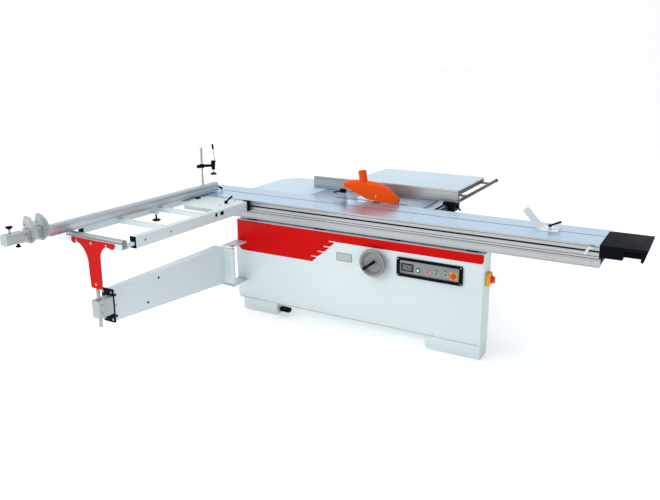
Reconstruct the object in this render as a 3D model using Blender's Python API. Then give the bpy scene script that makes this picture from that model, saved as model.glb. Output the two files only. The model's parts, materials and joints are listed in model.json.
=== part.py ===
"""Sliding-table panel saw: base, saw unit, sliding table, outrigger, fences and guard.

Metres. +Z is up, +X runs along the sliding table towards the infeed end, where the operator
starts a cut, and +Y runs from the operator's side towards the rip table. The origin is on the
floor, under the middle of the machine's bounding box.
"""
import math

import bmesh
import bpy
from mathutils import Matrix, Vector

# ---------------------------------------------------------------- driving dimensions
GAP = 0.0003                 # air between touching pieces
SHEET = 0.003                # cabinet sheet steel
TABLE_TOP = 0.884            # working height
HALF_LENGTH = 1.73           # half of the machine along X
HALF_DEPTH = 1.82            # half of the machine along Y

CABINET_LEFT, CABINET_RIGHT = -1.18, 0.795
CABINET_FRONT, CABINET_BACK = -0.080, 0.067
CABINET_BOTTOM, CABINET_TOP = 0.096, 0.728
BODY_LEFT, BODY_RIGHT = -0.74, 0.18          # the saw body behind the long front cabinet
BODY_BACK, BODY_TOP = 0.88, 0.80

RAIL_BOTTOM, RAIL_TOP = 0.742, 0.795
RAIL_FRONT, RAIL_BACK = -0.060, 0.140
SLIDE_LENGTH = 3.20
SLIDE_LEFT = -HALF_LENGTH
SLIDE_RIGHT = SLIDE_LEFT + SLIDE_LENGTH
SLIDE_FRONT, SLIDE_BACK = -0.062, 0.324
SLIDE_BOTTOM = 0.7995
SLIDE_WING = 0.0275                          # thickness of the edge over the tilted blade

MAIN_LEFT, MAIN_RIGHT = -0.76, 0.20
MAIN_FRONT, MAIN_BACK = 0.3275, 0.92
PLATE = 0.022                                # table plate thickness
SLOT_LEFT, SLOT_RIGHT, SLOT_BACK = -0.54, 0.06, 0.377
RIP_BACK = 1.72
OUTFEED_LEFT = -1.33

BLADE_Y = 0.36
BLADE_X = -0.25
ARBOR_Z = 0.794
BLADE_RADIUS = 0.150
BLADE_HALF = 0.0016
SCORE_X, SCORE_Z, SCORE_RADIUS = -0.020, 0.8265, 0.060
MOTOR_Z, MOTOR_RADIUS = 0.50, 0.085
SCORE_MOTOR_Z = 0.595
GUIDE_Y = 0.515
GUIDE_X = (-0.385, -0.115)

OUT_LEFT, OUT_RIGHT = -1.575, -1.055         # outrigger frame
OUT_OUTER, OUT_INNER = -1.24, -0.0625
OUT_TOP, OUT_BOTTOM = 0.880, 0.805
ROLLER_Y, ROLLER_RADIUS = -1.335, 0.022
ROLLER_LEFT, ROLLER_RIGHT = -1.555, -1.055

FENCE_FACE = -1.49                           # crosscut fence
FENCE_DEPTH = 0.055
FENCE_BOTTOM, FENCE_TOP = 0.890, 0.956
FENCE_INNER, FENCE_OUTER = 0.09, -1.52
FENCE_PIVOT_Y = 0.02

PIN_X, PIN_Y = -1.105, -0.240                # swing arm hinge
PIN_BOTTOM, PIN_TOP = 0.255, 0.550
POST_X, POST_Y = -1.282, -1.375
POST_BOTTOM, POST_TOP = 0.29, 0.542
ARM_OUTER = -1.275

RIP_FENCE_FACE = 0.61
RIP_FENCE_LEFT, RIP_FENCE_RIGHT = -0.892, 0.360
BAR_X, BAR_Z, BAR_RADIUS = 0.285, 0.845, 0.014

WHEEL_X, WHEEL_Z, WHEEL_RADIUS = 0.023, 0.567, 0.0985
GRIP_ANGLE = math.radians(38)
PANEL_LEFT, PANEL_RIGHT = 0.191, 0.659
PANEL_BOTTOM, PANEL_TOP = 0.498, 0.630
BUTTON_Z = 0.556
BUTTON_RADIUS = 0.010
ISOLATOR_Y, ISOLATOR_Z = -0.004, 0.548

STOPS = {"flip_stop_inner": -1.572, "flip_stop_outer": -1.655}

BUTTONS = {"white_button": 0.348, "red_button": 0.416, "green_button_main": 0.480,
           "green_button_scoring": 0.543, "estop_button": 0.597}
BUTTON_FINISH = {"white_button": "signal_white", "red_button": "signal_red",
                 "green_button_main": "signal_green", "green_button_scoring": "signal_green",
                 "estop_button": "signal_red"}

# colour, roughness, metallic
FINISHES = {
    "cabinet_white": ((0.80, 0.83, 0.84), 0.40, 0.0),
    "panel_red": ((0.62, 0.01, 0.01), 0.35, 0.0),
    "guard_orange": ((1.00, 0.22, 0.02), 0.40, 0.0),
    "anodised": ((0.62, 0.67, 0.72), 0.35, 0.9),
    "cast_iron": ((0.42, 0.44, 0.46), 0.45, 0.9),
    "steel": ((0.60, 0.61, 0.62), 0.30, 1.0),
    "chrome": ((0.80, 0.80, 0.80), 0.12, 1.0),
    "black_plastic": ((0.02, 0.02, 0.02), 0.45, 0.0),
    "rubber": ((0.03, 0.03, 0.03), 0.80, 0.0),
    "wheel_grey": ((0.45, 0.48, 0.49), 0.40, 0.3),
    "plate_grey": ((0.42, 0.43, 0.44), 0.50, 0.2),
    "motor_grey": ((0.25, 0.29, 0.32), 0.50, 0.2),
    "signal_yellow": ((0.95, 0.60, 0.05), 0.40, 0.0),
    "signal_red": ((0.75, 0.05, 0.02), 0.40, 0.0),
    "signal_green": ((0.05, 0.35, 0.18), 0.40, 0.0),
    "signal_white": ((0.85, 0.86, 0.86), 0.40, 0.0),
}

PLANE_ORDER = {"X": (1, 2, 0), "Y": (0, 2, 1), "Z": (0, 1, 2)}


# ---------------------------------------------------------------- shapes
def place(axis, a, b, along):
    """A point from its two coordinates across an axis and the one along it."""
    point = [0.0, 0.0, 0.0]
    for slot, value in zip(PLANE_ORDER[axis], (a, b, along)):
        point[slot] = value
    return point


def closed(rings, capped=True):
    """Joins rings of points into one closed solid with outward faces."""
    solid = bmesh.new()
    rows = [[solid.verts.new(point) for point in ring] for ring in rings]
    count = len(rows[0])
    for low, high in zip(rows, rows[1:] if capped else rows[1:] + rows[:1]):
        for i in range(count):
            j = (i + 1) % count
            solid.faces.new((low[i], low[j], high[j], high[i]))
    if capped:
        solid.faces.new(rows[0][::-1])
        solid.faces.new(rows[-1])
    bmesh.ops.recalc_face_normals(solid, faces=solid.faces)
    return solid


def prism(outline, axis, start, end):
    """An outline drawn across an axis, extruded along it."""
    return closed([[place(axis, a, b, along) for a, b in outline] for along in (start, end)])


def box(low, high):
    """A block between two opposite corners."""
    outline = [(low[0], low[1]), (high[0], low[1]), (high[0], high[1]), (low[0], high[1])]
    return prism(outline, "Z", low[2], high[2])


def turned(profile, centre, axis, segments=28):
    """A closed profile of (radius, height) points turned about an axis through a centre."""
    rings = []
    for step in range(segments):
        angle = math.tau * step / segments
        ring = []
        for radius, height in profile:
            point = place(axis, radius * math.cos(angle), radius * math.sin(angle), height)
            ring.append([c + p for c, p in zip(centre, point)])
        rings.append(ring)
    solid = closed(rings, capped=False)
    bmesh.ops.remove_doubles(solid, verts=solid.verts, dist=1e-6)
    bmesh.ops.recalc_face_normals(solid, faces=solid.faces)
    return solid


def rod(start, end, radius, segments=20, tip=None):
    """A round bar between two points, which can taper to another radius."""
    start, end = Vector(start), Vector(end)
    along = (end - start).normalized()
    side = along.orthogonal().normalized()
    turn = along.cross(side)
    rings = []
    for centre, reach in ((start, radius), (end, radius if tip is None else tip)):
        angles = [math.tau * i / segments for i in range(segments)]
        rings.append([centre + reach * (side * math.cos(t) + turn * math.sin(t)) for t in angles])
    return closed(rings)


def rounded(left, bottom, right, top, radius, steps=4):
    """The outline of a rectangle with round corners."""
    corners = ((right, top, 0), (left, top, 1), (left, bottom, 2), (right, bottom, 3))
    outline = []
    for x, y, quarter in corners:
        cx = x - radius if x == right else x + radius
        cy = y - radius if y == top else y + radius
        for step in range(steps + 1):
            angle = math.pi / 2 * (quarter + step / steps)
            outline.append((cx + radius * math.cos(angle), cy + radius * math.sin(angle)))
    return outline


def arc(centre, radius, first, last, steps):
    """Points along an arc, with its angles in degrees."""
    angles = [math.radians(first + (last - first) * i / steps) for i in range(steps + 1)]
    return [(centre[0] + radius * math.cos(t), centre[1] + radius * math.sin(t)) for t in angles]


def turned_about(solid, degrees, axis, point):
    """Turns a solid about an axis through a point."""
    turn = Matrix.Rotation(math.radians(degrees), 3, axis)
    bmesh.ops.rotate(solid, cent=point, matrix=turn, verts=solid.verts)
    return solid


# ---------------------------------------------------------------- objects
def finish(name):
    """The material of one finish, made once."""
    if name in bpy.data.materials:
        return bpy.data.materials[name]
    colour, roughness, metallic = FINISHES[name]
    material = bpy.data.materials.new(name)
    material.use_nodes = True
    shader = material.node_tree.nodes["Principled BSDF"]
    shader.inputs["Base Color"].default_value = (*colour, 1.0)
    shader.inputs["Roughness"].default_value = roughness
    shader.inputs["Metallic"].default_value = metallic
    return material


def as_object(name, solid):
    """An object that holds a solid."""
    mesh = bpy.data.meshes.new(name)
    solid.to_mesh(mesh)
    solid.free()
    piece = bpy.data.objects.new(name, mesh)
    bpy.context.scene.collection.objects.link(piece)
    return piece


def boolean(piece, solids, operation):
    """Applies exact booleans with each solid in turn."""
    for solid in solids:
        tool = as_object("tool", solid)
        modifier = piece.modifiers.new(operation, "BOOLEAN")
        modifier.operation = operation
        modifier.solver = "EXACT"
        modifier.object = tool
        evaluated = piece.evaluated_get(bpy.context.evaluated_depsgraph_get())
        result = bpy.data.meshes.new_from_object(evaluated)
        old = piece.data
        piece.modifiers.clear()
        piece.data = result
        bpy.data.meshes.remove(old)
        bpy.data.objects.remove(tool)


def part(name, material, solids, cuts=(), pivot=(0, 0, 0)):
    """One named sub-part: solids welded into one body, then cut."""
    piece = as_object(name, solids[0])
    boolean(piece, solids[1:], "UNION")
    boolean(piece, cuts, "DIFFERENCE")
    piece.data.materials.clear()
    piece.data.materials.append(finish(material))
    piece.data.transform(Matrix.Translation(-Vector(pivot)))
    piece.location = pivot
    piece.data.shade_smooth()
    piece.data.set_sharp_from_angle(angle=math.radians(35))
    return piece


# ---------------------------------------------------------------- base
def front_cabinet():
    corner = 0.012
    outline = [
        (CABINET_LEFT, CABINET_TOP), (CABINET_LEFT, CABINET_BOTTOM + 2 * corner),
        (CABINET_LEFT + corner, CABINET_BOTTOM), (CABINET_RIGHT, CABINET_BOTTOM),
        (CABINET_RIGHT, CABINET_TOP),
    ]
    hollow = box((CABINET_LEFT + SHEET, CABINET_FRONT + SHEET, CABINET_BOTTOM + 2 * corner),
                 (CABINET_RIGHT - SHEET, CABINET_BACK + SHEET, CABINET_TOP - SHEET))
    shaft_hole = rod((WHEEL_X, CABINET_FRONT - 0.01, WHEEL_Z), (WHEEL_X, 0, WHEEL_Z), 0.0125)
    part("front_cabinet", "cabinet_white",
         [prism(outline, "Y", CABINET_FRONT, CABINET_BACK)], [hollow, shaft_hole])


def body_cabinet():
    front = CABINET_BACK + GAP
    shell = box((BODY_LEFT, front, CABINET_BOTTOM), (BODY_RIGHT, BODY_BACK, BODY_TOP))
    hollow = box((BODY_LEFT + SHEET, front - 0.01, CABINET_BOTTOM + SHEET),
                 (BODY_RIGHT - SHEET, BODY_BACK - SHEET, BODY_TOP + 0.01))
    doorway = box((BODY_LEFT - 0.01, 0.30, 0.18), (BODY_LEFT + 0.01, 0.80, 0.64))
    rail_way = box((BODY_LEFT - 0.01, front - 0.01, 0.72), (BODY_RIGHT + 0.01, 0.345, 0.90))
    port = rod((-0.28, BODY_BACK - 0.001, 0.22), (-0.28, BODY_BACK + 0.070, 0.22), 0.054, 28)
    port_way = rod((-0.28, BODY_BACK - 0.02, 0.22), (-0.28, BODY_BACK + 0.08, 0.22), 0.050, 28)
    part("body_cabinet", "cabinet_white", [shell, port], [hollow, doorway, rail_way, port_way])


def plinths():
    top = CABINET_BOTTOM - GAP
    front, back = CABINET_FRONT + 0.003, CABINET_BACK - 0.004
    left_foot = rounded(-1.134, 0.0, -0.818, top + 0.02, 0.018)
    left_foot = [(x, min(z, top)) for x, z in left_foot]
    right_foot = [(0.405, top), (0.405, 0.030), (0.412, 0.010), (0.430, 0.0), (0.793, 0.0), (0.793, top)]
    solids = [
        prism([p for i, p in enumerate(left_foot) if i == 0 or p != left_foot[i - 1]], "Y", front, back),
        prism(right_foot, "Y", front, back),
        box((BODY_LEFT + 0.02, 0.62, 0), (BODY_LEFT + 0.18, BODY_BACK - 0.01, top)),
        box((BODY_RIGHT - 0.18, 0.62, 0), (BODY_RIGHT - 0.02, BODY_BACK - 0.01, top)),
        box((-0.90, -0.030, top - 0.006), (0.50, 0.040, top)),
        box((BODY_LEFT + 0.03, 0.030, top - 0.006), (BODY_RIGHT - 0.03, 0.70, top)),
    ]
    part("plinths", "cabinet_white", solids)


def red_panel():
    """The coloured sheet on the front, with a stepped slant like saw teeth."""
    foot, shoulder = (-0.493, 0.490), (-0.290, 0.664)
    slit, length, teeth = 0.008, 0.055, 4
    slant = []
    for tooth in range(teeth):
        share = (tooth + 0.95) / teeth
        x = shoulder[0] + (foot[0] - shoulder[0]) * (share - 0.2) ** 1.15
        z = shoulder[1] + (foot[1] - shoulder[1]) * (share - 0.2)
        slant += [(x, z + slit), (x - length, z + slit), (x - length, z), (x - 0.006, z)]
    outline = [(CABINET_RIGHT - 0.003, CABINET_TOP - 0.001)]
    outline += [(-1.168, CABINET_TOP - 0.001)]
    outline += arc((-1.113, 0.543), 0.055, 180, 270, 5)
    outline += [foot] + slant[::-1] + [shoulder]
    outline += arc((CABINET_RIGHT - 0.023, 0.684), 0.020, 270, 360, 4)
    back = CABINET_FRONT - GAP
    part("red_panel", "panel_red", [prism(outline, "Y", back - 0.002, back)])


def control_panel():
    """The black bezel, the plate inside it and the plate's button holes."""
    back = CABINET_FRONT - GAP
    rim = 0.022
    frame = prism(rounded(PANEL_LEFT, PANEL_BOTTOM, PANEL_RIGHT, PANEL_TOP, 0.012), "Y", back - 0.014,
                  back)
    window = box((PANEL_LEFT + rim, back - 0.02, PANEL_BOTTOM + rim - 0.004),
                 (PANEL_RIGHT - rim, back + 0.01, PANEL_TOP - rim + 0.004))
    part("control_bezel", "black_plastic", [frame], [window])
    plate = box((PANEL_LEFT + rim + GAP, back - 0.008, PANEL_BOTTOM + rim - 0.004 + GAP),
                (PANEL_RIGHT - rim - GAP, back, PANEL_TOP - rim + 0.004 - GAP))
    holes = [rod((x, back - 0.02, BUTTON_Z), (x, back - 0.0005, BUTTON_Z), BUTTON_RADIUS + 0.0006)
             for x in BUTTONS.values()]
    part("control_plate", "plate_grey", [plate], holes)


def buttons():
    """Push buttons in the control plate, and the mushroom head of the emergency stop."""
    seat = CABINET_FRONT - GAP - 0.008
    for name, x in BUTTONS.items():
        profile = [(0, 0.0034), (BUTTON_RADIUS, 0.0034), (BUTTON_RADIUS, -0.004),
                   (BUTTON_RADIUS - 0.002, -0.006),
                   (0, -0.006)]
        if name == "estop_button":
            profile = [(0, 0.0034), (BUTTON_RADIUS, 0.0034), (BUTTON_RADIUS, -0.006), (0.018, -0.0075),
                       (0.019, -0.013), (0.015, -0.018), (0, -0.019)]
        part(name, BUTTON_FINISH[name], [turned(profile, (x, seat, BUTTON_Z), "Y", 24)],
             pivot=(x, seat, BUTTON_Z))


def isolator():
    face = CABINET_RIGHT + GAP
    part("isolator_base", "signal_yellow",
         [prism(rounded(-0.042, 0.505, 0.034, 0.591, 0.008), "X", face, face + 0.026)])
    centre = (face + 0.026 + GAP, ISOLATOR_Y, ISOLATOR_Z)
    disc = turned([(0, 0), (0.026, 0), (0.026, 0.008), (0.022, 0.012), (0, 0.012)], centre, "X", 24)
    grip = box((centre[0] + 0.006, ISOLATOR_Y - 0.007, ISOLATOR_Z - 0.024),
               (centre[0] + 0.026, ISOLATOR_Y + 0.007, ISOLATOR_Z + 0.024))
    part("isolator_knob", "signal_red", [disc, grip], pivot=centre)


def electrics_box():
    case = box((0.28, -0.062, 0.17), (0.70, 0.050, 0.47))
    hollow = box((0.284, -0.058, 0.174), (0.696, 0.060, 0.466))
    part("electrics_box", "motor_grey", [case], [hollow])


def rail():
    """The fixed rail with its ball track, and the pads that stand it on the cabinet."""
    left, right = SLIDE_LEFT + 0.005, SLIDE_RIGHT + 0.008
    body = box((left, RAIL_FRONT, RAIL_BOTTOM), (right, RAIL_BACK, RAIL_TOP))
    track = box((left - 0.01, -0.040, 0.757), (right + 0.01, 0.120, 0.80))
    pads = [box((x - 0.04, -0.050, CABINET_TOP + GAP), (x + 0.04, 0.060, RAIL_BOTTOM + 0.002))
            for x in (-1.05, -0.45, 0.15, 0.70)]
    part("fixed_rail", "anodised", [body] + pads, [track])


def main_table():
    plate = box((MAIN_LEFT, MAIN_FRONT, TABLE_TOP - PLATE), (MAIN_RIGHT, MAIN_BACK, TABLE_TOP))
    low = 0.832
    ribs = [
        box((MAIN_LEFT, MAIN_FRONT + 0.04, low), (MAIN_LEFT + 0.014, MAIN_BACK, TABLE_TOP - 0.005)),
        box((MAIN_RIGHT - 0.014, MAIN_FRONT + 0.04, low), (MAIN_RIGHT, MAIN_BACK, TABLE_TOP - 0.005)),
        box((MAIN_LEFT, MAIN_BACK - 0.014, low), (MAIN_RIGHT, MAIN_BACK, TABLE_TOP - 0.005)),
        box((MAIN_LEFT, 0.74, low), (MAIN_RIGHT, 0.754, TABLE_TOP - 0.005)),
    ]
    legs = [box((x, y, BODY_TOP + GAP), (x + 0.05, y + 0.05, low + 0.002))
            for x in (MAIN_LEFT, MAIN_RIGHT - 0.05) for y in (0.50, 0.80)]
    slot = box((SLOT_LEFT, MAIN_FRONT - 0.01, 0.80), (SLOT_RIGHT, SLOT_BACK, 0.90))
    part("main_table", "cast_iron", [plate] + ribs + legs, [slot])


def table_insert():
    part("table_insert", "steel",
         [box((SLOT_LEFT + GAP, MAIN_FRONT, TABLE_TOP - 0.003),
              (SLOT_RIGHT - GAP, BLADE_Y - 0.0075, TABLE_TOP))])


def outfeed_table():
    """The pale extension behind the cut, with its far corner rounded."""
    right = MAIN_LEFT - GAP
    front, back = MAIN_FRONT + 0.004, MAIN_BACK - 0.004
    corner = 0.17
    outline = [(right, front), (right, back)]
    outline += arc((OUTFEED_LEFT + corner, back - corner), corner, 90, 180, 8)
    outline += [(OUTFEED_LEFT, front)]
    top = prism(outline, "Z", TABLE_TOP - 0.004, TABLE_TOP - 0.001)
    skirt = prism(outline, "Z", TABLE_TOP - 0.030, TABLE_TOP - 0.003)
    inside = [(x + (0.01 if x < right - 0.3 else -0.01), y + (0.01 if y < 0.6 else -0.01)) for x,
              y in outline]
    part("outfeed_table", "cabinet_white", [top, skirt],
         [prism(inside, "Z", TABLE_TOP - 0.05, TABLE_TOP - 0.0045)])


def rip_table():
    """The extension table on the rip side, folded from sheet and open underneath."""
    left, right = MAIN_LEFT, MAIN_RIGHT
    front = MAIN_BACK + GAP
    shell = box((left, front, 0.836), (right, RIP_BACK, TABLE_TOP))
    inside = box((left + SHEET, front + SHEET, 0.80),
                 (right - SHEET, RIP_BACK - SHEET, TABLE_TOP - SHEET))
    part("rip_table", "anodised", [shell], [inside])


def rip_bar():
    """The round bar that the rip fence slides on, with its three stand-offs."""
    bar = rod((BAR_X, 0.36, BAR_Z), (BAR_X, HALF_DEPTH, BAR_Z), BAR_RADIUS, 20)
    blocks = [box((MAIN_RIGHT + GAP, y - 0.012, BAR_Z - 0.008), (BAR_X, y + 0.012, BAR_Z + 0.008))
              for y in (0.42, 1.05, 1.65)]
    part("rip_bar", "steel", [bar] + blocks)


def hinge_bracket():
    """The bracket on the cabinet's left end that reaches round the corner to the swing arm's pin."""
    side, front = CABINET_LEFT - GAP, CABINET_FRONT - GAP - 0.0025
    plate = box((side - 0.008, front + 0.006, PIN_BOTTOM - 0.012), (side, front + 0.115, PIN_TOP + 0.012))
    lugs = []
    for low in (PIN_TOP + 0.002, PIN_BOTTOM - 0.012):
        lugs += [box((side - 0.008, PIN_Y - 0.022, low), (-1.084, front, low + 0.010)),
                 box((side - 0.008, front - 0.001, low), (side, front + 0.010, low + 0.010))]
    pin = rod((PIN_X, PIN_Y, PIN_BOTTOM - 0.02), (PIN_X, PIN_Y, PIN_TOP + 0.02), 0.010, 16)
    part("hinge_bracket", "cabinet_white", [plate, pin] + lugs)


def trunnions():
    """Curved hangers under the main table that carry the tilting frame."""
    solids = []
    centre = (BLADE_Y, TABLE_TOP)
    for x in (-0.68, 0.08):
        sector = arc(centre, 0.21, -105, -30, 10) + arc(centre, 0.16, -30, -105, 10)
        hanger = box((x, 0.50, 0.77), (x + 0.02, 0.635, TABLE_TOP - PLATE - GAP))
        solids += [prism(sector, "X", x, x + 0.02), hanger]
    solids.append(box((-0.67, 0.600, 0.812), (0.09, 0.625, 0.840)))
    part("trunnions", "cast_iron", solids)


# ---------------------------------------------------------------- small moving pieces on the base
def service_door():
    x = BODY_LEFT - GAP
    sheet = box((x - SHEET, 0.29, 0.17), (x, 0.81, 0.65))
    handle = box((x - 0.025, 0.76, 0.40), (x - SHEET + 0.001, 0.78, 0.44))
    barrels = [rod((x - 0.006, 0.29, z), (x - 0.006, 0.29, z + 0.06), 0.006, 12) for z in (0.22, 0.54)]
    part("service_door", "cabinet_white", [sheet, handle] + barrels, pivot=(x - 0.006, 0.29, 0.41))


def handwheel():
    """A dished cast wheel on its shaft, and its folding grip."""
    back = CABINET_FRONT
    centre = (WHEEL_X, back, WHEEL_Z)
    rim = WHEEL_RADIUS
    profile = [(0, 0.060), (0.0118, 0.060), (0.0118, -0.012), (0.024, -0.012), (0.024, -0.026),
               (0.060, -0.030),
               (rim - 0.022, -0.040), (rim - 0.018, -0.034), (rim - 0.006, -0.034), (rim, -0.042),
               (rim, -0.052), (rim - 0.006, -0.060), (rim - 0.018, -0.060), (rim - 0.024, -0.050),
               (0.060, -0.038), (0.026, -0.034), (0.024, -0.044), (0, -0.044)]
    direction = Vector((math.cos(GRIP_ANGLE), 0, math.sin(GRIP_ANGLE)))
    across = Vector((-direction.z, 0, direction.x))
    pivot = Vector((WHEEL_X, back - 0.0735, WHEEL_Z)) - direction * (rim - 0.034)
    lugs = [rod(pivot + across * side + Vector((0, 0.034, 0)),
                pivot + across * side - Vector((0, 0.004, 0)), 0.003, 10)
            for side in (-0.0130, 0.0130)]
    part("handwheel", "wheel_grey", [turned(profile, centre, "Y", 32)] + lugs, pivot=centre)
    grip = rod(pivot + direction * 0.006, pivot + direction * 0.105, 0.0080, 14, 0.0105)
    eye = rod(pivot - across * 0.0095, pivot + across * 0.0095, 0.0095, 14)
    part("handwheel_grip", "black_plastic", [eye, grip], pivot=pivot)


# ---------------------------------------------------------------- saw unit
def tilt_frame():
    """Two end plates beside the trunnions, the beam between them and two lift columns."""
    plates = [box((x, 0.385, 0.63), (x + 0.014, 0.66, 0.79)) for x in (-0.6597, 0.0653)]
    beam = box((-0.65, 0.60, 0.655), (0.07, 0.65, 0.70))
    arms = [box((x - 0.016, GUIDE_Y - 0.016, 0.66), (x + 0.016, 0.61, 0.695)) for x in GUIDE_X]
    columns = [rod((x, GUIDE_Y, 0.48), (x, GUIDE_Y, 0.835), 0.012, 16) for x in GUIDE_X]
    part("tilt_frame", "cast_iron", plates + [beam] + arms + columns, pivot=(0, BLADE_Y, TABLE_TOP))


def saw_carriage():
    """The casting that holds the arbor's bearings and the motor, and slides on the columns."""
    left, right = BLADE_X - 0.08, BLADE_X + 0.08
    solids = [
        rod((BLADE_X, 0.376, ARBOR_Z), (BLADE_X, 0.480, ARBOR_Z), 0.030, 24),
        box((left, 0.470, 0.66), (right, 0.488, 0.816)),
        box((left, 0.470, 0.40), (left + 0.014, 0.560, 0.816)),
        box((right - 0.014, 0.470, 0.40), (right, 0.560, 0.816)),
        box((left, 0.546, 0.40), (right, 0.560, 0.60)),
        box((left - 0.115, 0.3635, 0.762), (left + 0.004, 0.480, 0.790)),
    ]
    for x in GUIDE_X:
        for low, high in ((0.772, 0.792), (0.600, 0.625)):
            solids.append(box((x - 0.0205, GUIDE_Y - 0.0205, low), (x + 0.0205, GUIDE_Y + 0.0205, high)))
            solids.append(box((min(x, BLADE_X - 0.07) if x < BLADE_X else BLADE_X + 0.07,
                               GUIDE_Y - 0.0205, low),
                              (BLADE_X - 0.07 if x < BLADE_X else x, GUIDE_Y - 0.0135, high)))
    cuts = [rod((BLADE_X, 0.37, ARBOR_Z), (BLADE_X, 0.50, ARBOR_Z), 0.0154, 24),
            rod((BLADE_X, 0.54, MOTOR_Z), (BLADE_X, 0.57, MOTOR_Z), 0.020, 20)]
    cuts += [rod((x, GUIDE_Y, 0.45), (x, GUIDE_Y, 0.86), 0.0124, 16) for x in GUIDE_X]
    part("saw_carriage", "cast_iron", solids, cuts, pivot=(BLADE_X, BLADE_Y, ARBOR_Z))


def main_motor():
    start = 0.560 + GAP
    profile = [(0.0135, 0), (0.070, 0), (0.070, 0.008), (MOTOR_RADIUS, 0.012), (MOTOR_RADIUS, 0.200),
               (0.075, 0.225), (0.0, 0.225), (0.0, 0.014), (0.0135, 0.014)]
    body = turned(profile, (BLADE_X, start, MOTOR_Z), "Y", 32)
    terminals = box((BLADE_X - 0.04, start + 0.06, MOTOR_Z + 0.07),
                    (BLADE_X + 0.04, start + 0.16, MOTOR_Z + 0.105))
    part("main_motor", "motor_grey", [body, terminals])


def main_arbor():
    """The blade's shaft with its fixed flange, nut and pulley."""
    profile = [(0, -0.017), (0.012, -0.017), (0.012, -0.011), (0.028, -0.011), (0.028, -BLADE_HALF - GAP),
               (0.0147, -BLADE_HALF - GAP), (0.0147, BLADE_HALF + GAP), (0.030, BLADE_HALF + GAP),
               (0.030, 0.010), (0.0150, 0.010), (0.0150, 0.131), (0.026, 0.131), (0.026, 0.163),
               (0.012, 0.163), (0.012, 0.168), (0, 0.168)]
    centre = (BLADE_X, BLADE_Y, ARBOR_Z)
    part("main_arbor", "steel", [turned(profile, centre, "Y", 28)], pivot=centre)


def toothed_disc(radius, teeth, centre):
    """A saw blade's plate with hooked teeth."""
    outline = []
    for tooth in range(teeth):
        start = math.tau * tooth / teeth
        for share, depth in ((0.0, 0.0), (0.25, 0.004), (0.62, 0.011), (0.80, 0.010)):
            angle = start + math.tau * share / teeth
            reach = radius - depth
            outline.append((centre[0] + reach * math.cos(angle), centre[2] + reach * math.sin(angle)))
    return prism(outline, "Y", centre[1] - BLADE_HALF, centre[1] + BLADE_HALF)


def blades():
    centre = (BLADE_X, BLADE_Y, ARBOR_Z)
    bore = rod((BLADE_X, BLADE_Y - 0.02, ARBOR_Z), (BLADE_X, BLADE_Y + 0.02, ARBOR_Z), 0.0150, 28)
    part("main_blade", "chrome", [toothed_disc(BLADE_RADIUS, 36, centre)], [bore], pivot=centre)
    centre = (SCORE_X, BLADE_Y, SCORE_Z)
    profile = [(0, -0.006), (0.011, -0.006), (0.011, 0), (0.020, 0), (0.020, 0.012), (0.0100, 0.012),
               (0.0100, 0.118), (0.018, 0.118), (0.018, 0.136), (0, 0.136)]
    part("scoring_blade", "chrome",
         [toothed_disc(SCORE_RADIUS, 20, centre), turned(profile, centre, "Y", 24)],
         pivot=centre)


def drive():
    """The motor's pulley and the flat belt up to the arbor's pulley."""
    centre = (BLADE_X, 0.4915, MOTOR_Z)
    profile = [(0, 0), (0.040, 0), (0.040, 0.032), (0.0125, 0.032), (0.0125, 0.080), (0, 0.080)]
    part("motor_pulley", "steel", [turned(profile, centre, "Y", 28)], pivot=centre)
    loops = []
    for grow in (GAP, 0.0035):
        lower = arc((BLADE_X, MOTOR_Z), 0.040 + grow, -183, 3, 14)
        upper = arc((BLADE_X, ARBOR_Z), 0.026 + grow, 3, 177, 14)
        loops.append(lower + upper)
    outer = prism(loops[1], "Y", 0.494, 0.521)
    inner = prism(loops[0], "Y", 0.48, 0.53)
    part("drive_belt", "rubber", [outer], [inner])


def riving_knife():
    """The plate behind the blade, which also carries the guard."""
    outline = [(-0.455, 0.765), (-0.455, 0.80), (-0.470, 0.90), (-0.482, 0.985), (-0.450, 0.985),
               (-0.428, 0.93)]
    outline += arc((BLADE_X, ARBOR_Z), BLADE_RADIUS + 0.006, 140, 184, 6)
    part("riving_knife", "steel", [prism(outline, "Y", BLADE_Y - 0.0011, BLADE_Y + 0.0032)])


def scoring_unit():
    """The scoring arbor's housing and its motor, hung from the tilting frame."""
    housing = rod((SCORE_X, 0.376, SCORE_Z), (SCORE_X, 0.470, SCORE_Z), 0.024, 20)
    web = box((SCORE_X - 0.014, 0.40, 0.66), (SCORE_X + 0.014, 0.470, SCORE_Z))
    arm = box((SCORE_X - 0.014, 0.43, 0.655), (SCORE_X + 0.014, 0.60 - GAP, 0.695))
    motor = rod((SCORE_X + 0.002, 0.52, SCORE_MOTOR_Z), (SCORE_X + 0.002, 0.69, SCORE_MOTOR_Z), 0.045, 24)
    foot = box((SCORE_X - 0.014, 0.525, SCORE_MOTOR_Z + 0.03), (SCORE_X + 0.014, 0.590, 0.66))
    bore = rod((SCORE_X, 0.36, SCORE_Z), (SCORE_X, 0.49, SCORE_Z), 0.0104, 20)
    part("scoring_unit", "motor_grey", [housing, web, arm, motor, foot], [bore])


# ---------------------------------------------------------------- guard
HOOD = (  # x, top, bottom on the operator's side, half width
    (-0.485, 0.996, 0.990, 0.014),
    (-0.450, 1.014, 0.976, 0.024),
    (-0.400, 1.030, 0.958, 0.030),
    (-0.320, 1.038, 0.928, 0.032),
    (-0.240, 1.036, 0.900, 0.032),
    (-0.170, 1.026, 0.893, 0.030),
    (-0.100, 0.998, 0.890, 0.026),
    (-0.040, 0.958, 0.889, 0.019),
    (-0.005, 0.920, 0.889, 0.011),
)


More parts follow.
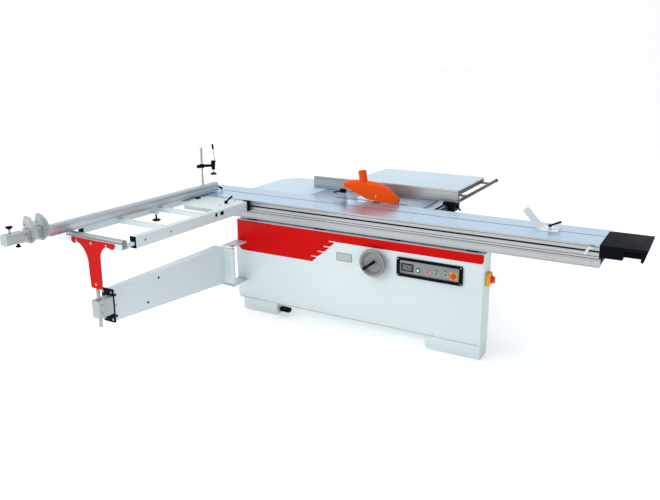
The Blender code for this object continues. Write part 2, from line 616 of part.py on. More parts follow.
def guard_hood():
    """A narrow hood over the blade. Its far side is cut higher, so that it clears the table
    when the saw unit leans over."""
    wall = 0.0025
    rings = []
    for x, top, low, half in HOOD:
        far_low = max(low, TABLE_TOP + half + 0.006)
        shoulder = min(0.012, (top - far_low) * 0.45)
        outer = [(-half, low), (-half, top - shoulder), (-half * 0.45, top), (half * 0.45, top),
                 (half, top - shoulder), (half, far_low)]
        inner = [(half - wall, far_low), (half - wall, top - shoulder - wall * 0.4),
                 (half * 0.45 - wall * 0.4, top - wall), (-half * 0.45 + wall * 0.4, top - wall),
                 (-half + wall, top - shoulder - wall * 0.4), (-half + wall, low)]
        rings.append([(x, BLADE_Y + y, z) for y, z in outer + inner])
    shell = closed(rings)
    spout_foot, spout_top = (-0.298, BLADE_Y, 1.028), (-0.312, BLADE_Y, 1.112)
    spout = rod(spout_foot, spout_top, 0.0300, 24, 0.0315)
    way = rod((-0.294, BLADE_Y, 1.00), (-0.314, BLADE_Y, 1.13), 0.0265, 24, 0.0290)
    nose = box((-0.0075, BLADE_Y - 0.0095, 0.892), (-0.0045, BLADE_Y + 0.0, 0.917))
    part("guard_hood", "guard_orange", [shell, spout, nose], [way], pivot=(-0.487, BLADE_Y, 0.985))


def guard_clamp():
    """The block that grips the riving knife, with the locking lever."""
    block = box((-0.500, BLADE_Y - 0.009, 0.925), (-0.452, BLADE_Y + 0.011, 0.955))
    slit = box((-0.4840, BLADE_Y - 0.0016, 0.91), (-0.440, BLADE_Y + 0.0037, 0.97))
    cheek = box((-0.492, BLADE_Y + 0.0055, 0.95), (-0.4545, BLADE_Y + 0.0105, 0.978))
    lever = rod((-0.478, BLADE_Y - 0.008, 0.940), (-0.478, BLADE_Y - 0.022, 0.940), 0.006, 12)
    handle = rod((-0.440, BLADE_Y - 0.022, 0.953), (-0.545, BLADE_Y - 0.026, 0.926), 0.0045, 12, 0.006)
    part("guard_clamp", "black_plastic", [block, cheek, lever, handle], [slit])


# ---------------------------------------------------------------- sliding table
def sliding_table():
    """The long extrusion: chambers, a T-slot along the top and a clamping groove in front."""
    front, back, top = SLIDE_FRONT, SLIDE_BACK, TABLE_TOP
    groove, slot = 0.842, 0.150
    outline = [
        (front, SLIDE_BOTTOM), (0.140, SLIDE_BOTTOM), (0.140, 0.830), (0.175, top - SLIDE_WING),
        (back, top - SLIDE_WING), (back, top),
        (slot + 0.006, top), (slot + 0.006, top - 0.006), (slot + 0.012, top - 0.006),
        (slot + 0.012, top - 0.014), (slot - 0.012, top - 0.014), (slot - 0.012, top - 0.006),
        (slot - 0.006, top - 0.006), (slot - 0.006, top),
        (front, top), (front, groove + 0.006), (front + 0.004, groove + 0.006),
        (front + 0.004, groove + 0.012), (front + 0.013, groove + 0.012), (front + 0.013, groove - 0.012),
        (front + 0.004, groove - 0.012), (front + 0.004, groove - 0.006), (front, groove - 0.006),
    ]
    chambers = [box((SLIDE_LEFT - 0.01, low, 0.805), (SLIDE_RIGHT + 0.01, high, top - 0.019))
                for low, high in ((-0.042, 0.045), (0.051, 0.134))]
    chambers.append(box((SLIDE_LEFT - 0.01, 0.185, top - SLIDE_WING + 0.004),
                        (SLIDE_RIGHT + 0.01, back - 0.006, top - 0.005)))
    part("sliding_table", "anodised", [prism(outline, "X", SLIDE_LEFT, SLIDE_RIGHT)], chambers)


def ball_cage():
    """The strip of balls between the rail and the table, which travels half as far."""
    strip = [box((-1.02, y, 0.768), (0.80, y + 0.030, 0.789)) for y in (-0.030, 0.080)]
    ties = [box((x, -0.015, 0.772), (x + 0.03, 0.095, 0.785)) for x in (-1.02, -0.125, 0.77)]
    balls = []
    for step in range(9):
        for y in (-0.015, 0.095):
            centre = (-0.94 + 0.205 * step, y, (0.757 + SLIDE_BOTTOM) / 2)
            radius = (SLIDE_BOTTOM - 0.757) / 2 - GAP
            profile = [(radius * math.sin(t),
                        -radius * math.cos(t)) for t in (math.pi * i / 4 for i in range(5))]
            balls.append(turned(profile, centre, "Z", 8))
    part("ball_cage", "steel", strip + ties + balls)


def end_guard():
    """The black push handle box on the table's infeed end."""
    left, right = SLIDE_RIGHT + GAP, HALF_LENGTH
    low = 0.806
    outline = [(left, TABLE_TOP - 0.001), (left, low), (right - 0.02, low), (right, TABLE_TOP - 0.001)]
    shell = prism(outline, "Y", SLIDE_FRONT, 0.31)
    recess = box((1.600, SLIDE_FRONT - 0.01, low - 0.01), (1.695, 0.02, TABLE_TOP - 0.018))
    under = box((left + 0.02, 0.04, low - 0.01), (right - 0.035, 0.29, TABLE_TOP - 0.012))
    part("end_guard", "black_plastic", [shell], [recess, under])


def table_latch():
    """The catch on the front of the table that locks it to the rail."""
    x, y, z = 1.415, SLIDE_FRONT - 0.001, 0.866
    pivot = rod((x, y, z), (x, y - 0.012, z), 0.009, 16)
    blade = box((x - 0.008, y - 0.010, z - 0.052), (x + 0.008, y - 0.004, z))
    tab = box((x - 0.005, y - 0.022, z - 0.004), (x + 0.028, y - 0.010, z + 0.006))
    part("table_latch", "chrome", [turned_about(blade, 28, "Y", (x, y, z)), pivot, tab], pivot=(x, y, z))


def edging_shoe():
    """A bent plate that holds a workpiece's edge down, clamped in the T-slot."""
    top = TABLE_TOP + GAP
    thick, low, high = 0.004, 0.10, 0.23
    foot_x, bend_x = 1.19, 1.075
    outline = [(foot_x, top), (foot_x, top + thick), (bend_x + 0.002, top + thick),
               (0.972, top + 0.118), (0.968, top + 0.116), (bend_x - 0.001, top)]
    stud = rod((1.135, 0.150, top + 0.003), (1.135, 0.150, top + 0.020), 0.006, 14)
    part("edging_shoe", "signal_white", [prism(outline, "Y", low, high), stud])
    z = top + 0.020 + GAP
    hub = rod((1.135, 0.150, z), (1.135, 0.150, z + 0.014), 0.011, 16)
    lever = rod((1.135, 0.150, z + 0.008), (1.185, 0.215, z + 0.022), 0.006, 12, 0.008)
    part("shoe_lever", "black_plastic", [hub, lever], pivot=(1.135, 0.150, z))


# ---------------------------------------------------------------- outrigger
def outrigger_frame():
    """Two box tubes, their rungs, the wide inner plate and the end profile."""
    far, near = OUT_LEFT, OUT_RIGHT
    solids = [
        box((near - 0.05, OUT_OUTER, OUT_BOTTOM), (near, OUT_INNER, OUT_TOP)),
        box((far, OUT_OUTER, 0.842), (far + 0.05, OUT_INNER, OUT_TOP)),
        box((far + 0.04, -0.310, 0.846), (near - 0.04, OUT_INNER, 0.876)),
        box((far - 0.05, -1.372, 0.826), (near + 0.015, -1.367, 0.862)),
        box((far - 0.05, -1.372, 0.826), (near + 0.015, -1.305, 0.830)),
    ]
    for y in (-0.93, -0.54):
        solids.append(box((far + 0.04, y - 0.02, 0.846), (near - 0.04, y + 0.02, 0.876)))
    for x in (far + 0.01, near - 0.045):
        solids.append(box((x, -1.310, 0.826), (x + 0.035, OUT_OUTER + 0.01, 0.842 + 0.004)))
    key = [box((x - 0.03, OUT_INNER - 0.004, 0.8385), (x + 0.03, SLIDE_FRONT + 0.003, 0.8455))
           for x in (-1.45, -1.18)]
    shoe = box((far + 0.04, OUT_INNER - 0.006, 0.815), (near - 0.04, OUT_INNER, 0.876))
    knob_x, knob_y = far + 0.090, -0.62
    lug = box((far + 0.045, knob_y - 0.02, 0.846), (knob_x + 0.012, knob_y + 0.02, 0.856))
    stem = rod((knob_x, knob_y, 0.802), (knob_x, knob_y, 0.850), 0.006, 12)
    star = rod((knob_x, knob_y, 0.792), (knob_x, knob_y, 0.808), 0.024, 10)
    part("outrigger_frame", "cabinet_white", solids + [shoe, lug, stem, star] + key)


def end_roller():
    centre_z = OUT_TOP + 0.003 - ROLLER_RADIUS
    shaft = rod((ROLLER_LEFT - 0.008, ROLLER_Y, centre_z), (ROLLER_RIGHT + 0.008, ROLLER_Y, centre_z),
                0.006, 14)
    shell = rod((ROLLER_LEFT, ROLLER_Y, centre_z), (ROLLER_RIGHT, ROLLER_Y, centre_z), ROLLER_RADIUS, 24)
    part("end_roller", "anodised", [shell, shaft], pivot=(ROLLER_LEFT, ROLLER_Y, centre_z))


def arm_bracket():
    """The T-shaped plate that hands the outrigger's weight to the swing arm."""
    x, top, low = POST_X, 0.860, POST_TOP + 0.003
    outline = [(x - 0.195, top), (x - 0.195, top - 0.028)]
    outline += [(x - 0.175, top - 0.040)]
    outline += arc((x - 0.205, 0.700), 0.150, 62, 8, 6)
    outline += [(x - 0.050, low + 0.012), (x - 0.040, low), (x + 0.038, low), (x + 0.048, low + 0.012)]
    outline += arc((x + 0.140, 0.745), 0.090, 180, 105, 6)
    outline += [(x + 0.168, top - 0.038), (x + 0.182, top - 0.020), (x + 0.182, top)]
    part("arm_bracket", "panel_red", [prism(outline, "Y", -1.3825, -1.3725)])


def outrigger_lever():
    x, y, z = -1.17, -0.205, 0.876 + GAP
    hub = rod((x, y, z), (x, y, z + 0.020), 0.013, 16)
    lever = rod((x, y, z + 0.012), (x + 0.02, y + 0.045, z + 0.048), 0.006, 12, 0.008)
    part("outrigger_lever", "black_plastic", [hub, lever], pivot=(x, y, z))


# ---------------------------------------------------------------- crosscut fence
def crosscut_fence():
    """The fence extrusion with its top groove, on a foot."""
    face, back = FENCE_FACE, FENCE_FACE - FENCE_DEPTH
    low, top = FENCE_BOTTOM, FENCE_TOP
    groove = face - 0.022
    outline = [
        (face, low), (face, top - 0.008), (face - 0.005, top),
        (groove + 0.004, top), (groove + 0.004, top - 0.005), (groove + 0.009, top - 0.005),
        (groove + 0.009, top - 0.013), (groove - 0.009, top - 0.013), (groove - 0.009, top - 0.005),
        (groove - 0.004, top - 0.005), (groove - 0.004, top),
        (back + 0.005, top), (back, top - 0.008), (back, low),
    ]
    body = prism(outline, "Y", FENCE_OUTER, FENCE_INNER)
    chamber = box((back + 0.004, FENCE_OUTER - 0.01, low + 0.006),
                  (face - 0.004, FENCE_INNER + 0.01, top - 0.017))
    foot = box((back + 0.010, FENCE_PIVOT_Y - 0.03, TABLE_TOP + GAP),
               (face - 0.010, FENCE_PIVOT_Y + 0.03, low + 0.003))
    part("crosscut_fence", "anodised", [body, foot], [chamber],
         pivot=(face - 0.028, FENCE_PIVOT_Y, low))


def fence_extension():
    """The bar that slides out of the fence, with the end block."""
    face, back = FENCE_FACE, FENCE_FACE - FENCE_DEPTH
    bar = box((back + 0.005, -1.72, FENCE_BOTTOM + 0.007), (face - 0.005, -0.72, FENCE_TOP - 0.018))
    outline = rounded(back - 0.004, FENCE_BOTTOM + 0.010, face + 0.006, FENCE_TOP + 0.012, 0.012)
    block = prism(outline, "Y", -HALF_DEPTH, -1.700)
    screw = rod((face - 0.026, -1.775, FENCE_TOP + 0.004), (face - 0.026, -1.775, FENCE_TOP + 0.040),
                0.006, 12)
    knob = rod((face - 0.026, -1.775, FENCE_TOP + 0.040), (face - 0.026, -1.775, FENCE_TOP + 0.056),
               0.020, 12)
    collars = []
    for y in STOPS.values():
        collars.append(box((back - 0.006, y - 0.014, FENCE_BOTTOM - 0.006),
                           (face + 0.006, y + 0.014, FENCE_TOP + 0.014)))
        collars.append(box((back - 0.004, y + 0.0065, FENCE_TOP - 0.02),
                           (back + 0.018, y + 0.0135, FENCE_TOP + 0.046)))
    part("fence_extension", "anodised", [bar, block, screw, knob] + collars)


def flip_stops():
    """Half-round cast stops that hinge up over the fence's back."""
    for name, y in STOPS.items():
        x, z = FENCE_FACE - 0.026, FENCE_TOP + 0.008
        hinge = (FENCE_FACE - FENCE_DEPTH + 0.007, y, FENCE_TOP + 0.036)
        outline = [(x - 0.032, z + 0.030), (x - 0.014, z + 0.085)]
        outline += arc((x + 0.004, z), 0.082, 70, -65, 12)
        outline += [(x + 0.034, z - 0.069), (x + 0.034, z + 0.0115), (x - 0.032, z + 0.0115)]
        barrel = rod((hinge[0], y - 0.010, hinge[2]), (hinge[0], y + 0.0062, hinge[2]), 0.009, 16)
        part(name, "wheel_grey", [prism(outline, "Y", y - 0.006, y + 0.006), barrel], pivot=hinge)


def hold_down():
    """The workpiece clamp: post, arm with its press body, and the lever with the pad."""
    post_x, post_y = FENCE_FACE - FENCE_DEPTH - 0.022, 0.0
    post = rod((post_x, post_y, TABLE_TOP + 0.012), (post_x, post_y, 1.245), 0.010, 18)
    foot = box((post_x - 0.018, post_y - 0.018, TABLE_TOP + 0.006),
               (FENCE_FACE - FENCE_DEPTH - GAP, post_y + 0.018, 0.914))
    part("hold_down_post", "chrome", [foot, post])
    head = Vector((FENCE_FACE - 0.008, 0.058, 1.100))
    hub = rod((post_x, post_y, 1.085), (post_x, post_y, 1.115), 0.019, 18)
    arm = rod((post_x, post_y, 1.100), head, 0.012, 14, 0.011)
    knob = rod((post_x, post_y - 0.015, 1.100), (post_x, post_y - 0.050, 1.100), 0.008, 12, 0.015)
    body = rod(head + Vector((0, 0, -0.032)), head + Vector((0, 0, 0.040)), 0.014, 16, 0.017)
    bore = rod((post_x, post_y, 1.05), (post_x, post_y, 1.15), 0.0104, 18)
    way = rod(head + Vector((0, 0, -0.04)), head + Vector((0, 0, 0.005)), 0.0060, 12)
    part("hold_down_arm", "black_plastic", [hub, arm, knob, body], [bore, way],
         pivot=(post_x, post_y, 1.100))
    plunger = rod(head + Vector((0, 0, -0.062)), head + Vector((0, 0, -0.002)), 0.0055, 12)
    pad = turned([(0, 0), (0.026, 0), (0.026, 0.004), (0.020, 0.012), (0.008, 0.016), (0, 0.016)],
                 head + Vector((0, 0, -0.072)), "Z", 20)
    part("hold_down_pad", "black_plastic", [pad, plunger], pivot=head)
    pivot = head + Vector((0, 0.0195, 0.030))
    boss = rod(pivot + Vector((0, -0.002, 0)), pivot + Vector((0, 0.008, 0)), 0.010, 14)
    lever = rod(pivot + Vector((0, 0.004, 0)), pivot + Vector((-0.018, 0.004, 0.128)), 0.0035, 10)
    grip = rod(pivot + Vector((-0.0135, 0.004, 0.096)), pivot + Vector((-0.0195, 0.004, 0.139)), 0.008,
               12)
    part("hold_down_lever", "chrome", [boss, lever, grip], pivot=pivot)


# ---------------------------------------------------------------- swing arm
def swing_arm():
    """The tapered box that swings under the outrigger, with its hinge barrel."""
    inner_y, outer_y = PIN_Y - 0.015, ARM_OUTER
    faces = ((inner_y, -1.262, -1.180, 0.255, 0.548), (outer_y, -1.336, -1.264, 0.292, 0.508))
    shell = closed([[(left, y, low), (right, y, low), (right, y, high), (left, y, high)]
                    for y, left, right, low, high in faces])
    hollow = closed([[(left + SHEET, y, low + 0.022), (right - SHEET, y, low + 0.022),
                      (right - SHEET, y, high - 0.022), (left + SHEET, y, high - 0.022)]
                     for y, left, right, low, high in
                     ((inner_y - 0.03, -1.262, -1.182, 0.258, 0.545),
                      (outer_y - 0.01, -1.3366, -1.2646, 0.292, 0.508))])
    barrel = rod((PIN_X, PIN_Y, PIN_BOTTOM + 0.008), (PIN_X, PIN_Y, PIN_TOP - 0.008), 0.020, 20)
    web = box((-1.20, PIN_Y - 0.018, PIN_BOTTOM + 0.008), (PIN_X, PIN_Y - 0.002, PIN_TOP - 0.008))
    bore = rod((PIN_X, PIN_Y, 0.2), (PIN_X, PIN_Y, 0.6), 0.0106, 20)
    part("swing_arm", "cabinet_white", [shell, web, barrel], [hollow, bore],
         pivot=(PIN_X, PIN_Y, PIN_BOTTOM))


def arm_tube():
    """The telescoping tube inside the arm, its black end plate, clamp block and post."""
    y = ARM_OUTER - GAP
    slide = box((-1.320, y - 0.002, 0.340), (-1.276, -0.335, 0.470))
    turned_about(slide, -4.4, "Z", (-1.298, y, 0.4))
    flange = box((-1.352, y - 0.012, 0.286), (-1.250, y - 0.001, 0.514))
    block = box((POST_X - 0.036, POST_Y - 0.034, 0.355), (POST_X + 0.036, y - 0.010, 0.470))
    post = rod((POST_X, POST_Y, POST_BOTTOM), (POST_X, POST_Y, POST_TOP), 0.012, 18)
    part("arm_tube", "steel", [flange, slide, block, post], pivot=(POST_X, POST_Y, 0.40))


# ---------------------------------------------------------------- rip fence
def rip_fence():
    """The fence plate that stands on the main table."""
    y, low, top = RIP_FENCE_FACE, TABLE_TOP + 0.002, 0.979
    outline = [(y, low), (y, top), (y + 0.012, top), (y + 0.012, low + 0.024), (y + 0.050, low + 0.024),
               (y + 0.050, low)]
    chamber = box((RIP_FENCE_LEFT - 0.01, y + 0.014, low + 0.003),
                  (RIP_FENCE_RIGHT + 0.01, y + 0.046, low + 0.021))
    part("rip_fence", "anodised", [prism(outline, "X", RIP_FENCE_LEFT, RIP_FENCE_RIGHT)], [chamber])


def fence_carriage():
    """The black casting that carries the rip fence along the bar, and its lever."""
    y, low = RIP_FENCE_FACE, TABLE_TOP + 0.002
    saddle = box((BAR_X - 0.034, y - 0.03, 0.815), (BAR_X + 0.055, y + 0.095, low - GAP))
    tongue = box((BAR_X - 0.20, y + 0.0535, low + 0.001), (BAR_X + 0.055, y + 0.080, low + 0.024))
    lip = box((BAR_X + 0.030, y + 0.052, 0.86), (BAR_X + 0.055, y + 0.095, low + 0.02))
    bore = rod((BAR_X, y - 0.1, BAR_Z), (BAR_X, y + 0.2, BAR_Z), BAR_RADIUS + 0.0004, 20)
    under = box((BAR_X - 0.07, y - 0.1, 0.80), (BAR_X - BAR_RADIUS + 0.004, y + 0.2, 0.8655))
    part("fence_carriage", "black_plastic", [saddle, lip, tongue], [bore, under])
    pivot = Vector((BAR_X + 0.055 + GAP, y + 0.03, 0.850))
    hub = rod(pivot, pivot + Vector((0.012, 0, 0)), 0.010, 14)
    lever = rod(pivot + Vector((0.007, 0, 0)), pivot + Vector((0.050, -0.060, -0.012)), 0.005, 12, 0.0075)
    part("fence_lever", "black_plastic", [hub, lever], pivot=pivot)


def build():
    """Clears the scene and makes every sub-part."""
    for old in list(bpy.data.objects):
        bpy.data.objects.remove(old)
    makers = (front_cabinet, body_cabinet, plinths, red_panel, control_panel, buttons, isolator,
              electrics_box, rail, main_table, table_insert, outfeed_table, rip_table, rip_bar,
              hinge_bracket, trunnions, service_door, handwheel, tilt_frame, saw_carriage,
              main_motor, main_arbor, blades, drive, riving_knife, scoring_unit, guard_hood,
              guard_clamp, sliding_table, ball_cage, end_guard, table_latch, edging_shoe,
              outrigger_frame, end_roller, arm_bracket, outrigger_lever, crosscut_fence,
              fence_extension, flip_stops, hold_down, swing_arm, arm_tube, rip_fence, fence_carriage)
    for maker in makers:
        maker()


build()
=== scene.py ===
"""The finished look of the sliding-table panel saw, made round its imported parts.

Metres, in the parts' own frame: +X along the sliding table, +Y away from the operator, +Z up.
"""

import json
import math

import bmesh
import bpy
from mathutils import Matrix, Vector


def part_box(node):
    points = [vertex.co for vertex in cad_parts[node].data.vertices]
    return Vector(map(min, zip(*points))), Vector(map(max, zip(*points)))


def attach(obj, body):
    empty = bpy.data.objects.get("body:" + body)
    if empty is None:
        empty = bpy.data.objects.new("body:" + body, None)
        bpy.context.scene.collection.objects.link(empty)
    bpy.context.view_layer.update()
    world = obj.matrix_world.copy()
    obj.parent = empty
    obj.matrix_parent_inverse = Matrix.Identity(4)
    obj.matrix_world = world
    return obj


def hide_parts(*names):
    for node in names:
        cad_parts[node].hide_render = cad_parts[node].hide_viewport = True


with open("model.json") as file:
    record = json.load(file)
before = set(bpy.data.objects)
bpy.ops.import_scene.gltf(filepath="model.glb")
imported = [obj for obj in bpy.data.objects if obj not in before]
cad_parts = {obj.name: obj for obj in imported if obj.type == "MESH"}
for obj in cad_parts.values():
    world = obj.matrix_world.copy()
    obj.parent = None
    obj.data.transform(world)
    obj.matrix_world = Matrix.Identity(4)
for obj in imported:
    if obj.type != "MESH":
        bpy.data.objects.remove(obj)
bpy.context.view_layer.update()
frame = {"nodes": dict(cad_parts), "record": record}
NODES = frame["nodes"]
BODY_OF = {node: body for body, nodes in frame["record"]["behaviour"]["bodies"].items() for node in nodes}
SLOT_OF = {row["node"]: row["material_slot"] for row in frame["record"]["subparts"]}
X, Y, Z = Vector((1, 0, 0)), Vector((0, 1, 0)), Vector((0, 0, 1))

TABLE_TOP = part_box("sliding_table")[1][2]
CUT_Y = 0.36                       # the plane of both blades
FENCE_FACE = -1.49                 # the crosscut fence's face towards the work
FENCE_BACK = FENCE_FACE - 0.055
STOPS = {"flip_stop_inner": -1.572, "flip_stop_outer": -1.655}
POST_X, POST_Y = -1.282, -1.375    # the swing arm's outer post
SHARP = math.radians(32)           # edges sharper than this are eased or marked
CORNER = 1e-5                      # corners closer than this are one


# ---------------------------------------------------------------- wiring
class Value:
    """A socket that takes part in arithmetic: each operator adds its Math node."""

    def __init__(self, wiring, socket):
        self.wiring = wiring
        self.socket = socket

    def __add__(self, other):
        return self.wiring.math("ADD", self, other)

    def __sub__(self, other):
        return self.wiring.math("SUBTRACT", self, other)

    def __rsub__(self, other):
        return self.wiring.math("SUBTRACT", other, self)

    def __mul__(self, other):
        return self.wiring.math("MULTIPLY", self, other)

    def __rtruediv__(self, other):
        return self.wiring.math("DIVIDE", other, self)

    __radd__ = __add__
    __rmul__ = __mul__

    def sine(self):
        return self.wiring.math("SINE", self)

    def between(self, low, high):
        """0 below low, 1 above high and a smooth step between them."""
        return self.wiring.node("ShaderNodeMapRange", {"interpolation_type": "SMOOTHSTEP"},
                                {0: self, 1: low, 2: high})


class Wiring:
    """A node tree under construction."""

    def node(self, kind, settings=None, inputs=None, output=0):
        made = self.tree.nodes.new(kind)
        for name, value in (settings or {}).items():
            setattr(made, name, value)
        for name, value in (inputs or {}).items():
            if isinstance(value, Value):
                self.tree.links.new(value.socket, made.inputs[name])
            else:
                made.inputs[name].default_value = value
        return Value(self, made.outputs[output])

    def math(self, operation, *values):
        return self.node("ShaderNodeMath", {"operation": operation}, dict(enumerate(values)))


class Finish(Wiring):
    """A surface finish. Fixed values sit on the shader, the rest is wired to it."""

    def __init__(self, name, colour, roughness, metallic=0.0, **fixed):
        self.material = bpy.data.materials.new(name)
        self.material.use_nodes = True
        self.tree = self.material.node_tree
        self.shader = self.tree.nodes["Principled BSDF"]
        self.colour = (*colour, 1.0)
        self.roughness = roughness
        self.shader.inputs["Base Color"].default_value = self.colour
        self.shader.inputs["Roughness"].default_value = roughness
        self.shader.inputs["Metallic"].default_value = metallic
        for socket, value in fixed.items():
            self.shader.inputs[socket.replace("_", " ")].default_value = value
        self.object_points = self.node("ShaderNodeTexCoord", output=3)

    def wire(self, socket, value):
        self.tree.links.new(value.socket, self.shader.inputs[socket])
        return self

    def points(self, stretch=(1, 1, 1)):
        return self.node("ShaderNodeMapping", {"vector_type": "POINT"},
                         {"Vector": self.object_points, "Scale": stretch})

    def axis(self, index):
        return self.node("ShaderNodeSeparateXYZ", None, {0: self.object_points}, output=index)

    def noise(self, scale, detail=2.0, stretch=(1, 1, 1)):
        return self.node("ShaderNodeTexNoise", None,
                         {"Vector": self.points(stretch), "Scale": scale, "Detail": detail})

    def shade(self, factor, darker, lighter):
        """Base colour between two multiples of the finish's own."""
        low, high = ([min(1.0, c * k) for c in self.colour[:3]] + [1.0] for k in (darker, lighter))
        return self.wire("Base Color", self.node(
            "ShaderNodeMix", {"data_type": "RGBA"}, {0: factor, 6: low, 7: high}, output=2))

    def rough(self, factor, spread):
        return self.wire("Roughness", (factor - 0.5) * spread + self.roughness)

    def relief(self, height, strength, distance=0.001):
        return self.wire("Normal", self.node(
            "ShaderNodeBump", None, {"Strength": strength, "Distance": distance, "Height": height}))


def enamel(name, colour, roughness=0.35, **fixed):
    """Powder coat: a fine orange peel, faint mottling and a colour that darkens near the floor."""
    made = Finish(name, colour, roughness, **fixed)
    mottle = made.noise(3.0, 3.0)
    # the colour darkens over the lowest 0.16 m, towards the floor
    floor_darkening = made.axis(2).between(0.0, 0.16)
    made.shade(mottle * 0.30 + floor_darkening * 0.70, 0.88, 1.03)
    made.rough(made.noise(12.0, 3.0), 0.10)
    return made.relief(made.noise(420.0, 2.0), 0.06, 0.0003)


def brushed(name, colour, along, roughness=0.32, metallic=0.92, bands=0.0):
    """Drawn or brushed metal with its grain along one axis, and optional fine lengthwise ribs."""
    made = Finish(name, colour, roughness, metallic)
    stretch = [650.0, 650.0, 650.0]
    stretch[along] = 3.0
    grain = made.noise(1.0, 3.0, stretch)
    cloud = made.noise(2.2, 2.0)
    made.shade(grain * 0.6 + cloud * 0.4, 0.80, 1.18)
    made.rough(grain, 0.22)
    height = grain * 0.25
    if bands:
        across = 1 if along == 0 else 0
        height = height + (made.axis(across) * (math.tau / bands)).sine() * 0.5
    return made.relief(height, 0.22 if bands else 0.10, 0.0004)


def casting(name, colour, roughness=0.45, metallic=0.0, grain=160.0):
    """Painted or bare casting with a sandy skin."""
    made = Finish(name, colour, roughness, metallic)
    skin = made.noise(grain, 5.0)
    made.shade(made.noise(9.0, 4.0), 0.82, 1.14)
    made.rough(made.noise(26.0, 2.0), 0.16)
    return made.relief(skin, 0.30, 0.0006)


def moulded(name, colour, roughness=0.42, grain=900.0, **fixed):
    """Moulded plastic or rubber with a fine spark-eroded grain and handling marks."""
    made = Finish(name, colour, roughness, **fixed)
    made.shade(made.noise(14.0, 3.0), 0.88, 1.10)
    made.rough(made.noise(18.0, 4.0), 0.22)
    return made.relief(made.noise(grain, 2.0), 0.18, 0.0002)


def polished(name, colour, roughness=0.14):
    """Plated or turned steel with faint circular wear."""
    made = Finish(name, colour, roughness, 1.0)
    made.shade(made.noise(30.0, 4.0), 0.90, 1.06)
    made.rough(made.noise(60.0, 5.0), 0.12)
    return made.relief(made.noise(500.0, 2.0, (1, 0.15, 1)), 0.03, 0.0002)


FINISHES = {
    "cabinet_white": enamel("cabinet_white", (0.68, 0.77, 0.79), 0.42),
    "panel_red": enamel("panel_red", (0.60, 0.0, 0.0), 0.34, Specular_IOR_Level=0.10),
    "guard_orange": moulded("guard_orange", (1.0, 0.090, 0.0), 0.42, 500.0, Specular_IOR_Level=0.12),
    "anodised": brushed("anodised", (0.47, 0.49, 0.50), 0, 0.36, 0.80),
    "cast_iron": casting("cast_iron", (0.22, 0.24, 0.26), 0.45, 0.6, 220.0),
    "steel": brushed("steel", (0.42, 0.44, 0.46), 1, 0.30, 1.0),
    "chrome": polished("chrome", (0.62, 0.64, 0.66)),
    "black_plastic": moulded("black_plastic", (0.004, 0.005, 0.010), 0.55, Specular_IOR_Level=0.04),
    "rubber": moulded("rubber", (0.015, 0.015, 0.016), 0.75, 300.0, Specular_IOR_Level=0.2),
    "wheel_grey": casting("wheel_grey", (0.27, 0.29, 0.29), 0.42, 0.30),
    "plate_grey": brushed("plate_grey", (0.26, 0.27, 0.27), 0, 0.42, 0.5),
    "motor_grey": casting("motor_grey", (0.16, 0.19, 0.21)),
    "signal_yellow": moulded("signal_yellow", (0.86, 0.42, 0.01), 0.36, Specular_IOR_Level=0.3),
    "signal_red": moulded("signal_red", (0.80, 0.035, 0.008), 0.34, Specular_IOR_Level=0.3),
    "signal_green": moulded("signal_green", (0.02, 0.28, 0.12), 0.34, Specular_IOR_Level=0.3),
    "signal_white": enamel("signal_white", (0.78, 0.84, 0.86), 0.36),
}
EXTRAS = {
    "table_top": brushed("table_top", (0.46, 0.63, 0.80), 0, 0.27, 0.85, bands=0.0090),
    "fence_grain": brushed("fence_grain", (0.60, 0.65, 0.69), 1, 0.34, 0.80),
    "cast_light": casting("cast_light", (0.46, 0.50, 0.51), 0.40, 0.35),
    "dark_steel": brushed("dark_steel", (0.030, 0.034, 0.042), 1, 0.42, 0.4),
    "slate": enamel("slate", (0.055, 0.070, 0.085), 0.45, Specular_IOR_Level=0.2),
    "ground_iron": brushed("ground_iron", (0.36, 0.44, 0.54), 0, 0.30, 0.85),
    "pale_sheet": brushed("pale_sheet", (0.60, 0.74, 0.83), 1, 0.45, 0.15),
    "screen": moulded("screen", (0.055, 0.070, 0.062), 0.25),
    "dark_gap": moulded("dark_gap", (0.012, 0.012, 0.014), 0.7, Specular_IOR_Level=0.2),
}
FINISHES.update(EXTRAS)


# ---------------------------------------------------------------- growing what repeats
class Growth(Wiring):
    """A Geometry Nodes tree with named sizes, ending in one plain mesh with its finish."""

    def __init__(self, name, sizes):
        self.tree = bpy.data.node_groups.new(name, "GeometryNodeTree")
        face = self.tree.interface
        face.new_socket("Geometry", in_out="INPUT", socket_type="NodeSocketGeometry")
        face.new_socket("Geometry", in_out="OUTPUT", socket_type="NodeSocketGeometry")
        for size, default in sizes.items():
            kind = {int: "NodeSocketInt", float: "NodeSocketFloat"}.get(type(default), "NodeSocketVector")
            face.new_socket(size, in_out="INPUT", socket_type=kind).default_value = default
        entry = self.tree.nodes.new("NodeGroupInput")
        self.sizes = {socket.name: Value(self, socket) for socket in entry.outputs[:-1]}

    def joined(self, *shapes):
        join = self.tree.nodes.new("GeometryNodeJoinGeometry")
        for shape in shapes:
            self.tree.links.new(shape.socket, join.inputs[0])
        return Value(self, join.outputs[0])

    def moved(self, shape, offset):
        return self.node("GeometryNodeTransform", None, {"Geometry": shape, "Translation": offset})

    def end(self, shape, finish):
        shape = self.node("GeometryNodeRealizeInstances", None, {0: shape})
        shape = self.node("GeometryNodeSetMaterial", None, {"Geometry": shape, "Material": finish.material})
        out = self.tree.nodes.new("NodeGroupOutput")
        self.tree.links.new(shape.socket, out.inputs[0])


